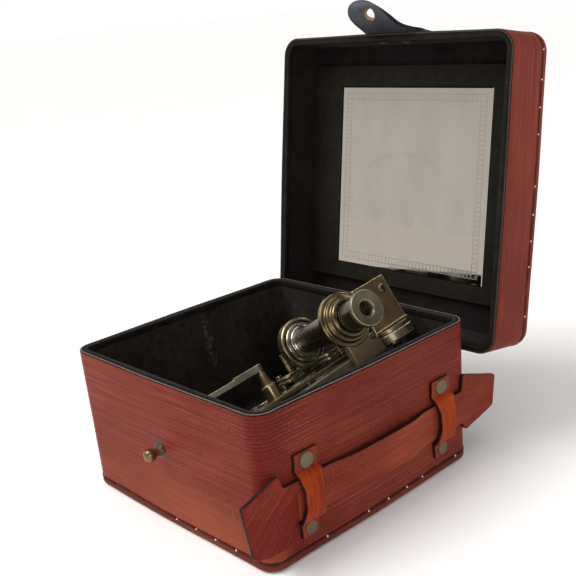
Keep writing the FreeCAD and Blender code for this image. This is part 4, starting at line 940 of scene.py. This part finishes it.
def flat_piece(poly, cuts_u, cuts_v, thick, bevel, place, name, mats, body, uvrot=0.0):
    """A leather piece cut to a polygon (u, v), gridded, given thickness along w and bent by place(u, v, w).
    mats: front, edge, back."""
    bm = bmesh.new()
    vs = [bm.verts.new((u, v, 0)) for u, v in poly]
    bm.faces.new(vs)
    for cu in cuts_u:
        bmesh.ops.bisect_plane(bm, geom=bm.verts[:] + bm.edges[:] + bm.faces[:], plane_co=(cu, 0, 0), plane_no=(1, 0, 0), dist=1e-5)
    for cv in cuts_v:
        bmesh.ops.bisect_plane(bm, geom=bm.verts[:] + bm.edges[:] + bm.faces[:], plane_co=(0, cv, 0), plane_no=(0, 1, 0), dist=1e-5)
    bmesh.ops.remove_doubles(bm, verts=bm.verts, dist=1e-4)
    for face in bm.faces:
        if face.normal.z < 0:
            face.normal_flip()
    front = bm.faces[:]
    r = bmesh.ops.extrude_face_region(bm, geom=front)
    nv = [g for g in r["geom"] if isinstance(g, bmesh.types.BMVert)]
    nf = [g for g in r["geom"] if isinstance(g, bmesh.types.BMFace)]
    for q in nv:
        q.co.z += thick
    bmesh.ops.recalc_face_normals(bm, faces=bm.faces)
    bm.normal_update()
    rim = [e for e in bm.edges if len(e.link_faces) == 2 and abs(abs(e.link_faces[0].normal.z) - abs(e.link_faces[1].normal.z)) > 0.5]
    if bevel:
        bmesh.ops.bevel(bm, geom=rim, offset=bevel, segments=2, profile=0.6, affect="EDGES")
    bm.normal_update()
    for face in bm.faces:
        c = face.calc_center_median()
        if face.normal.z > 0.9:
            face.material_index = 0
        elif face.normal.z < -0.9:
            face.material_index = 2
        else:
            face.material_index = 1
        face.smooth = True
    bmesh.ops.triangulate(bm, faces=[q for q in bm.faces if len(q.verts) > 4])
    layer = bm.loops.layers.uv.new("UVMap")
    cr, sr = math.cos(uvrot), math.sin(uvrot)
    for face in bm.faces:
        for lp_ in face.loops:
            a, b = lp_.vert.co.x * MM, lp_.vert.co.y * MM
            lp_[layer].uv = (a * cr - b * sr, a * sr + b * cr)
    for q in bm.verts:
        x, y, z = place(q.co.x, q.co.y, q.co.z)
        q.co = Vector((x * MM, y * MM, z * MM))
    bmesh.ops.recalc_face_normals(bm, faces=bm.faces)
    me = bpy.data.meshes.new(name)
    bm.to_mesh(me)
    bm.free()
    ob = bpy.data.objects.new(name, me)
    bpy.context.collection.objects.link(ob)
    for m in mats:
        me.materials.append(m)
    if body:
        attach(ob, body)
    sharp(ob, 50)
    return ob


def strap_place(u, v, w):
    p = 0.45 + strap_bow(u) + w + 0.30 * smoothstep((54.0 - abs(u)) / 14.0)
    # the free heads stand off the wall a little and curl at their tips
    if u < -66:
        p += 1.6 * smoothstep((-66 - u) / 24.0)
    if u > 68:
        p += 0.7 * smoothstep((u - 68) / 26.0)
    dz = wobble((u, v, 0), 0.25, 20.0, 5.0)
    return wall_pt(p, u, v + dz * 0.4)


M_STRAPDIAG = leather("red_leather_strap_head", (0.066, 0.004, 0.0025), (0.165, 0.0145, 0.0080), (0.33, 0.060, 0.032), lines=0.5,
                      streak=(26.0, 420.0), weave=0.55, rough=0.44, ribs=640.0)
poly = round_poly(STRAP, 1.6, 3)
cs = flat_piece(poly, [y for y in np.arange(-91, 95, 2.5)], [z for z in np.arange(14, 52, 3.2)], 2.25, 0.35, strap_place,
                "carrying_strap_leather", [M_STRAP, M_EDGE, M_EDGE], "carrying_strap", uvrot=0.0)
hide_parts("carrying_strap", "carrying_strap_lining")
# the strap's front head shows a diagonal rib; its middle and rear head a plain grain
me = cs.data
me.materials.append(M_STRAPDIAG)
uvl = me.uv_layers["UVMap"]
for p in me.polygons:
    cy = sum(me.vertices[i].co.y for i in p.vertices) / len(p.vertices)
    if p.material_index == 0 and cy < -0.058:
        p.material_index = 3
        for li in p.loop_indices:
            a, b = uvl.data[li].uv
            t = math.radians(-38)
            uvl.data[li].uv = (a * math.cos(t) - b * math.sin(t), a * math.sin(t) + b * math.cos(t))


def spline(pts, k=8):
    """Catmull-Rom through points."""
    out = []
    P = [Vector(p) for p in pts]
    P = [P[0] * 2 - P[1]] + P + [P[-1] * 2 - P[-2]]
    for i in range(1, len(P) - 2):
        for j in range(k):
            t = j / k
            a = (P[i] * 2 + (P[i + 1] - P[i - 1]) * t + (P[i - 1] * 2 - P[i] * 5 + P[i + 1] * 4 - P[i + 2]) * t * t
                 + (-P[i - 1] + P[i] * 3 - P[i + 1] * 3 + P[i + 2]) * t ** 3) * 0.5
            out.append(a)
    out.append(P[-2])
    return out


def keeper(name, yc, node, mats, foot):
    """A keeper: riveted flat at both ends, bulging over the strap between them."""
    path = spline([(11.4, 0.05, 0), (15.5, 0.05, 0), (19.6, 0.06, 0), (21.0, 1.0, 0), (22.4, 3.2, 0), (26.5, 4.6, 0), (30.5, 5.3, 0), (34.5, 5.4, 0),
                   (39.0, 4.9, 0), (42.6, 3.9, 0), (44.9, 3.0, 0), (46.0, 1.3, 0), (47.3, 0.12, 0), (51.7, 0.05, 0), (56.4, 0.05, 0)], 5)
    n = len(path)
    T = 1.7
    verts, faces, uvs, mi = [], [], [], []
    acc = 0.0
    cross = []

    def half(z):
        """Half width: waisted over the strap, a little narrower at the foot."""
        return 7.75 - 1.5 * smoothstep((z - 20.8) / 9.2) * smoothstep((46.8 - z) / 8.8) - foot * smoothstep((23.0 - z) / 5.0)

    # cross-section (across, depth share): rounded edges
    for a, t in [(-1.0, 0.25), (-0.985, 0.08), (-0.95, 0.0), (-0.6, 0.0), (-0.2, 0.0), (0.2, 0.0), (0.6, 0.0), (0.95, 0.0), (0.985, 0.08), (1.0, 0.25),
                 (1.0, 0.75), (0.985, 0.94), (0.95, 1.0), (0.6, 1.03), (0.2, 1.05), (-0.2, 1.05), (-0.6, 1.03), (-0.95, 1.0), (-0.985, 0.94), (-1.0, 0.75)]:
        cross.append((a, t))
    m = len(cross)
    for i, q in enumerate(path):
        if i:
            acc += (q - path[i - 1]).length
        d = (path[min(i + 1, n - 1)] - path[max(i - 1, 0)])
        nz, np_ = -d.y, d.x        # normal of the path in (z, p): away from the wall
        L = math.hypot(nz, np_)
        nz, np_ = nz / L, np_ / L
        endk = 1.0
        if i < 3 or i > n - 4:
            e = min(i, n - 1 - i)
            endk = (0.90, 0.975, 0.995)[e] if e < 3 else 1.0
        wob = 0.25 * math.sin(i * 0.7 + yc)
        hwid = half(q.x)
        for a, t in cross:
            w = t * T
            if i in (0, n - 1):
                w = T * (0.5 + (t - 0.5) * 0.75)
            z, p = q.x + nz * w, q.y + np_ * w
            verts.append(wall_pt(p, yc + a * hwid * endk + wob * 0.4, z))
            uvs.append((acc * MM, a * hwid * MM + 0.4 + yc))
    for i in range(n - 1):
        for j in range(m):
            j2 = (j + 1) % m
            faces.append((i * m + j, i * m + j2, (i + 1) * m + j2, (i + 1) * m + j))
            t = (cross[j][1] + cross[j2][1]) / 2
            outer = t > 0.97
            edge = not outer
            mid = path[i].y > 0.8
            mi.append(2 if edge else (0 if mid else 1))
    faces.append(tuple(range(m))); mi.append(2)
    faces.append(tuple(reversed(range((n - 1) * m, n * m)))); mi.append(2)
    ob = fix_normals(make(name, verts, faces, mats, "case", uvs, mat_index=mi))
    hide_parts(node)
    return ob


keeper("front_keeper_leather", KEEP_Y[0], "front_keeper", [M_KEEP, M_STRAP, M_EDGE], 2.0)
keeper("rear_keeper_leather", KEEP_Y[1], "rear_keeper", [M_KEEP, M_STRAP, M_EDGE], 1.3)


# rivet caps: flat discs with a thin raised rim
def lathe(name, prof, base, axis, body, mat, slot, seg=40, node=None):
    """prof: (radius, height) pairs along axis from base."""
    a = Vector(axis).normalized()
    x = a.orthogonal().normalized()
    y = a.cross(x)
    verts, faces = [], []
    for r, h in prof:
        for i in range(seg):
            t = 2 * math.pi * i / seg
            verts.append(tuple(Vector(base) + a * h + (x * math.cos(t) + y * math.sin(t)) * max(r, 0.002)))
    m = len(prof)
    for j in range(m - 1):
        for i in range(seg):
            i2 = (i + 1) % seg
            faces.append((j * seg + i, j * seg + i2, (j + 1) * seg + i2, (j + 1) * seg + i))
    faces.append(tuple(reversed(range(seg))))
    faces.append(tuple(range((m - 1) * seg, m * seg)))
    return verts, faces


rv, rf = [], []
axis = Vector(wall_pt(1, 0, 0)) - Vector(wall_pt(0, 0, 0))
for yc in KEEP_Y:
    for z, r in ((51.7, 4.2), (15.9, 3.6)):
        b = wall_pt(1.77, yc, z)
        vv, ff = lathe("x", [(r * 0.9, -0.05), (r, 0.12), (r + 0.02, 0.42), (r - 0.14, 0.66), (r - 0.42, 0.74), (r - 0.72, 0.62), (r * 0.72, 0.66), (r * 0.35, 0.74), (0.002, 0.77)],
                       b, axis, None, None, None)
        o = len(rv)
        rv += vv
        rf += [tuple(o + i for i in q) for q in ff]
        vv, ff = lathe("x", [(1.1, -7.2), (1.1, 0.0)], b, axis, None, None, None, seg=16)
        o = len(rv)
        rv += vv
        rf += [tuple(o + i for i in q) for q in ff]
ob = sharp(fix_normals(make("keeper_rivet_caps", rv, rf, M_RIVET, "case")), 50)
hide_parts("keeper_rivets")


# closing strap: one tongue, riveted to the lid and curling away past its rim
TAB_X, TAB_W, TAB_LEN = -1.5, 30.0, 26.0
TAB_A0, TAB_R, TAB_CURL, TAB_LEAN = 12.0, 21.98, 0.07, -9.0
tv = np.linspace(0.0, TAB_LEN, 300)
ta = math.radians(TAB_A0) + tv / TAB_R + np.maximum(0.0, tv - 14.0) * TAB_CURL
tm = (ta[:-1] + ta[1:]) / 2
tf = np.concatenate([[0.0], np.cumsum(np.cos(tm)) * (tv[1] - tv[0])])
th = np.concatenate([[0.0], np.cumsum(np.sin(tm)) * (tv[1] - tv[0])])
LFY = LID_CY - LID_D / 2
ROOT_D = 24.0


def tab_place(u, v, w):
    """u across, v along (negative: over the lid's wall, positive: past the rim), w out from the lining side."""
    if v <= 0:
        f, h, a = v, 0.0, 0.0
        f -= 0.0
    else:
        f, h = float(np.interp(v, tv, tf)), float(np.interp(v, tv, th))
        a = float(np.interp(v, tv, ta)) * smoothstep(v / 5.0)
    f2 = f - math.sin(a) * w
    h2 = h + math.cos(a) * w
    lean = TAB_LEAN * (max(0.0, v - 9.0) / (TAB_LEN - 9.0)) ** 1.4
    return open_pt((TAB_X + u + lean, LFY - 0.5 - h2, HZ - f2))


def tongue(half, back, tip, r):
    pts = [(-half, -back), (-half, 0.0)]
    n = 14
    for i in range(1, n):
        t = math.pi - math.pi * i / n
        pts.append((half * math.cos(t), tip - r + (r if True else 0) * math.sin(t)))
    pts = [(-half, -back)] + [(-half, y) for y in (-12.0, 0.0, tip - r)] + [(half * math.cos(math.pi - math.pi * i / n), tip - r + r * math.sin(math.pi * i / n)) for i in range(1, n)] + \
          [(half + dx, y) for dx, y in ((0.0, tip - r), (0.8, 8.5), (2.3, 6.0), (4.6, 3.5), (6.6, 1.6), (8.2, 0.0), (8.6, -2.0), (7.6, -6.0), (4.6, -12.0), (1.4, -18.0), (0.0, -back))]
    return pts


def inside(p, poly):
    """True where p lies within the closed outline poly."""
    hit = False
    for i in range(len(poly)):
        (xa, ya), (xb, yb) = poly[i], poly[(i + 1) % len(poly)]
        if (ya > p[1]) != (yb > p[1]) and p[0] < xa + (p[1] - ya) * (xb - xa) / (yb - ya):
            hit = not hit
    return hit


def holed_piece(poly, hole, cuts_v, thick, z0, place, name, mats, body):
    """A tongue with a round stud hole, gridded, given thickness and bent."""
    from mathutils.geometry import delaunay_2d_cdt
    pts, edges = [], []
    for i, p in enumerate(poly):
        pts.append(Vector(p)); edges.append((i, (i + 1) % len(poly)))
    o = len(pts)
    for i, p in enumerate(hole):
        pts.append(Vector(p)); edges.append((o + i, o + (i + 1) % len(hole)))
    cx = sum(p[0] for p in hole) / len(hole)
    cy = sum(p[1] for p in hole) / len(hole)
    rh = max(math.dist(p, (cx, cy)) for p in hole)
    lo, hi = min(p[1] for p in poly), max(p[1] for p in poly)
    half, wide = TAB_W / 2, max(p[0] for p in poly)
    for yv in np.arange(lo + 2.0, hi - 1.0, 2.0):
        for xv in np.arange(-half + 2.0, wide - 1.0, 2.6):
            if xv > half - 1.0 and not -10.0 < yv < 3.0:
                continue
            if math.dist((xv, yv), (cx, cy)) < rh + 1.0:
                continue
            r_tip = half
            if yv > hi - r_tip and (xv / half) ** 2 + ((yv - (hi - r_tip)) / r_tip) ** 2 > 0.86:
                continue
            pts.append(Vector((xv, yv)))
    out = delaunay_2d_cdt(pts, edges, [], 1, 1e-5)
    V2, F2 = out[0], out[2]
    bm = bmesh.new()
    vs = [bm.verts.new((p.x, p.y, z0)) for p in V2]
    for fc in F2:
        c = sum((V2[i] for i in fc), Vector((0, 0))) / len(fc)
        if inside((c.x, c.y), hole):
            continue
        try:
            bm.faces.new([vs[i] for i in fc])
        except ValueError:
            pass
    loose = [q for q in bm.verts if not q.link_faces]
    bmesh.ops.delete(bm, geom=loose, context="VERTS")
    for face in bm.faces:
        face.normal_update()
        if face.normal.z < 0:
            face.normal_flip()
    r = bmesh.ops.extrude_face_region(bm, geom=bm.faces[:])
    for g in r["geom"]:
        if isinstance(g, bmesh.types.BMVert):
            g.co.z += thick
    bmesh.ops.recalc_face_normals(bm, faces=bm.faces)
    bm.normal_update()
    rim = [e for e in bm.edges if len(e.link_faces) == 2 and abs(abs(e.link_faces[0].normal.z) - abs(e.link_faces[1].normal.z)) > 0.5]
    bmesh.ops.bevel(bm, geom=rim, offset=min(0.3, thick * 0.3), segments=2, profile=0.6, affect="EDGES")
    bm.normal_update()
    for face in bm.faces:
        face.material_index = 0 if face.normal.z > 0.9 else (2 if face.normal.z < -0.9 else 1)
        mid = face.calc_center_median()
        if face.material_index == 1 and math.dist((mid.x, mid.y), (cx, cy)) < rh + 0.9:
            face.material_index = 3      # raw leather seen in the stud hole
        face.smooth = True
    layer = bm.loops.layers.uv.new("UVMap")
    for face in bm.faces:
        for lp_ in face.loops:
            lp_[layer].uv = (lp_.vert.co.y * MM, lp_.vert.co.x * MM)
    for q in bm.verts:
        x, y, z = place(q.co.x, q.co.y, q.co.z)
        q.co = Vector((x * MM, y * MM, z * MM))
    bmesh.ops.recalc_face_normals(bm, faces=bm.faces)
    me = bpy.data.meshes.new(name)
    bm.to_mesh(me)
    bm.free()
    ob = bpy.data.objects.new(name, me)
    bpy.context.collection.objects.link(ob)
    for m in mats:
        me.materials.append(m)
    sharp(ob, 50)
    return ob


tg = tongue(TAB_W / 2, ROOT_D, TAB_LEN, TAB_W / 2)
hole = []   # round as seen along the stud, so it leans the other way on the flat tongue
for k in range(20):
    hv = 16.6 + 3.6 * math.sin(2 * math.pi * k / 20)
    hole.append((-0.5 - TAB_LEAN * (max(0.0, hv - 9.0) / (TAB_LEN - 9.0)) ** 1.4 + 3.6 * math.cos(2 * math.pi * k / 20), hv))
tab = holed_piece(tg, hole, None, 2.35, 0.03, tab_place, "closing_strap_tongue", [M_STRAP, M_EDGEB, M_STRAPLIN, M_RAW], None)
p0 = Vector(tab_place(0, -3.0, 0)) * MM
p1 = Vector(tab_place(0, 3.0, 0)) * MM
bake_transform(tab)
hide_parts("closing_strap", "closing_strap_lining", "closing_strap_root", "closing_strap_root_lining")

# hinge leather across the back, one strip bending from the case to the lid
def lid_sd(s, d):
    return (HY - s * math.cos(OPEN) + d * math.sin(OPEN), HZ + s * math.sin(OPEN) + d * math.cos(OPEN))


def back_y(z):
    return BOX_D / 2.0 - TAPER * (1.0 - z / BOX_H)


path = spline([(back_y(30) + 1.0, 30.0, 0), (back_y(40) + 0.9, 40.0, 0), (back_y(47.5) + 1.0, 47.5, 0), (80.0, 53.0, 0), (83.6, 55.9, 0), tuple(lid_sd(-1.5, 1.6)) + (0,),
               tuple(lid_sd(-1.35, 7.0)) + (0,), tuple(lid_sd(-1.35, 15.0)) + (0,), tuple(lid_sd(-1.35, 24.0)) + (0,)], 5)
verts, faces, uvs = [], [], []
n = len(path)
cols = [x for x in np.linspace(-58, 58, 40)]
T = 1.4
acc = 0.0
for i, q in enumerate(path):
    if i:
        acc += (q - path[i - 1]).length
    d = path[min(i + 1, n - 1)] - path[max(i - 1, 0)]
    L = math.hypot(d.x, d.y)
    ny, nz = d.y / L, -d.x / L
    for side in (0.5, -0.5):
        for x in cols:
            wv = wobble((x, acc, 0.0), 0.22, 14.0, 8.0)
            verts.append((x, q.x + ny * (T * side + wv), q.y + nz * (T * side + wv)))
            uvs.append((x * MM, acc * MM))
m = len(cols)
for i in range(n - 1):
    for s_ in (0, 1):
        for j in range(m - 1):
            a = (i * 2 + s_) * m + j
            b = ((i + 1) * 2 + s_) * m + j
            faces.append((a, a + 1, b + 1, b) if s_ else (a, b, b + 1, a + 1))
    for j in (0, m - 1):
        a, b = (i * 2) * m + j, (i * 2 + 1) * m + j
        c, dd = ((i + 1) * 2) * m + j, ((i + 1) * 2 + 1) * m + j
        faces.append((a, b, dd, c))
for i in (0, n - 1):
    for j in range(m - 1):
        a, b = (i * 2) * m + j, (i * 2 + 1) * m + j
        faces.append((a, a + 1, b + 1, b))
hl = fix_normals(make("hinge_strip_leather", verts, faces, M_HINGE, None, uvs))
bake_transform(hl)
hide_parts("hinge_leather_case", "hinge_leather_lid")


# ------------------------------------------------------------------ carried-over solids
def paint(material, *nodes):
    for nname in nodes:
        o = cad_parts[nname]
        if not o.data.materials:
            o.data.materials.append(material)
        for i in range(len(o.material_slots)):
            o.material_slots[i].material = material


paint(M_CARD, "case_board", "lid_board", "mirror_backing")
paint(M_OLIVE, "mirror_board")
paint(M_LIDLIN, "lid_lining")
paint(M_STUD, "closing_stud")
paint(M_RIVET, "stud_screw", "keeper_burrs", "closing_strap_rivets")
paint(M_FRAME, "sextant_frame")
paint(M_BRACKET, "telescope_bracket")
paint(M_BRASS, "sextant_feet", "grip_brackets", "shade_posts", "horizon_mirror_plate", "index_arm", "arm_clamp",
      "index_shade_rims", "horizon_shade_rims", "tangent_screw", "pivot_pin", "magnifier_rim")
paint(M_TEL, "telescope_tube")
paint(M_TUBE, "eyepiece_tube")
paint(M_PLATE, "index_mirror_plate")
paint(M_ARMB, "magnifier_arm")
paint(M_POST, "magnifier_post")
paint(M_SCREW, "mirror_plate_screw")
paint(M_FOOTPLATE_PAINTED_HIGHLIGHT, "mirror_foot_plate")
paint(M_SILVER, "arc_scale", "vernier_plate")
paint(M_GRIP, "sextant_grip")
paint(M_LENS, "objective_lens", "magnifier_lens")
paint(M_EYELENS, "eye_lens")
paint(M_SHADE, "index_shade_glasses")
paint(M_SHADE2, "horizon_shade_glasses")
paint(M_SMALLMIR, "index_mirror", "horizon_mirror")

# mirror: own piece with texture coordinates over its face
MX, MW, ML, MS = 0.8, 115.0, 113.5, 88.3
mv, mf, mu = [], [], []
d0, d1 = 24.9 + 0.35, 24.9 + 1.95
bev = 0.7


def mir(x, s, d):
    y, z = lid_sd(s, d)
    return (MX + x, y, z)


hw, hl_ = MW / 2 - 0.05, ML / 2 - 0.05
for dx, dd in ((hw, d1), (hw, d0 + bev * 0.6), (hw - bev, d0), (0.0, d0)):
    kx, ky = (dx, hl_ - (hw - dx)) if dx else (0, 0)
    if dx:
        for sx, sy in ((-1, -1), (1, -1), (1, 1), (-1, 1)):
            mv.append(mir(sx * kx, MS + sy * ky, dd))
            mu.append((0.5 + sx * kx / MW, 0.5 + sy * ky / ML))
for j in range(2):
    for i in range(4):
        i2 = (i + 1) % 4
        mf.append((j * 4 + i, j * 4 + i2, (j + 1) * 4 + i2, (j + 1) * 4 + i))
mf.append((8, 9, 10, 11))
mf.append((3, 2, 1, 0))
mo = fix_normals(make("lid_mirror_glass", mv, mf, M_MIRROR, "lid", mu, smooth=False))
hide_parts("lid_mirror")

# ------------------------------------------------------------------ stage
def stage_material(name, c, rough=0.7):
    k = Nodes(name)
    v = k.coords("Object")
    n = k.noise(v, 6.0, 3.0)
    return k.set(color=k.ramp(n, [(0.3, c), (0.7, tuple(min(1, x * 1.02) for x in c))]), rough=rough, spec=0.2)


me = bpy.data.meshes.new("floor")
S = 14.0
me.from_pydata([(-S, -S, 0), (S, -S, 0), (S, S, 0), (-S, S, 0)], [], [(0, 1, 2, 3)])
floor = bpy.data.objects.new("floor", me)
me.materials.append(stage_material("floor_pale", (0.88, 0.875, 0.87)))
bpy.context.collection.objects.link(floor)


def area(name, loc, target, size, power, color=(1, 1, 1), size_y=None):
    l = bpy.data.lights.new(name, "AREA")
    l.energy = power
    l.color = color
    l.size = size
    if size_y:
        l.shape = "RECTANGLE"
        l.size_y = size_y
    o = bpy.data.objects.new(name, l)
    o.location = loc
    o.rotation_euler = (Vector(target) - Vector(loc)).to_track_quat("-Z", "Y").to_euler()
    bpy.context.collection.objects.link(o)
    return o


sun = bpy.data.lights.new("window", "SUN")
sun.energy = 1.9
sun.angle = math.radians(38)
sun.color = (1.0, 0.985, 0.965)
so = bpy.data.objects.new("window", sun)
so.rotation_euler = Vector((0.35, 0.50, -0.79)).to_track_quat("-Z", "Y").to_euler()
so.location = (-0.5, -0.8, 1.2)
bpy.context.collection.objects.link(so)
top = bpy.data.lights.new("ceiling", "SUN")
top.energy = 1.15
top.angle = math.radians(70)
to = bpy.data.objects.new("ceiling", top)
to.rotation_euler = Vector((0.05, 0.08, -1.0)).to_track_quat("-Z", "Y").to_euler()
to.location = (0.0, 0.0, 1.5)
bpy.context.collection.objects.link(to)
area("left_soft", (-0.75, -0.62, 0.85), (0.0, 0.0, 0.08), 0.45, 2.2, (1.0, 0.98, 0.95))
area("right_soft", (0.95, -0.62, 0.50), (0.02, 0.0, 0.06), 0.40, 4.2, (1.0, 0.98, 0.95))

w = bpy.data.worlds.new("studio")
bpy.context.scene.world = w
w.use_nodes = True
wt = w.node_tree
bg = wt.nodes["Background"]
tc = wt.nodes.new("ShaderNodeTexCoord")
sx = wt.nodes.new("ShaderNodeSeparateXYZ")
rp = wt.nodes.new("ShaderNodeValToRGB")
wt.links.new(tc.outputs["Generated"], sx.inputs[0])
wt.links.new(sx.outputs["Z"], rp.inputs["Fac"])
wt.links.new(rp.outputs["Color"], bg.inputs["Color"])
el = rp.color_ramp.elements
el[0].position, el[0].color = 0.0, (1.0, 1.0, 1.0, 1)
el[1].position, el[1].color = 1.0, (0.22, 0.22, 0.23, 1)
for pos, val in ((0.09, 1.0), (0.28, 0.50), (0.60, 0.27)):
    e = el.new(pos)
    e.color = (val, val, val, 1)
bg.inputs["Strength"].default_value = 1.0

# ------------------------------------------------------------------ camera
cam_d = bpy.data.cameras.new("photo_camera")
cam = bpy.data.objects.new("photo_camera", cam_d)
bpy.context.collection.objects.link(cam)
cam_d.sensor_width = 36.0
cam_d.sensor_fit = "HORIZONTAL"
cam_d.lens = 933.73 / 576.0 * 36.0
cam_d.clip_start, cam_d.clip_end = 0.02, 20.0
X = Vector((0.68476, 0.72312, -0.09055)).normalized()
Z = Vector((0.71201, -0.63734, 0.29468))
Z = (Z - X * Z.dot(X)).normalized()
Y = Z.cross(X)
m4 = Matrix(((X.x, Y.x, Z.x, 0.36572), (X.y, Y.y, Z.y, -0.31004), (X.z, Y.z, Z.z, 0.25444), (0, 0, 0, 1)))
cam.matrix_world = m4
bpy.context.scene.camera = cam
bpy.context.scene.view_settings.view_transform = "Standard"
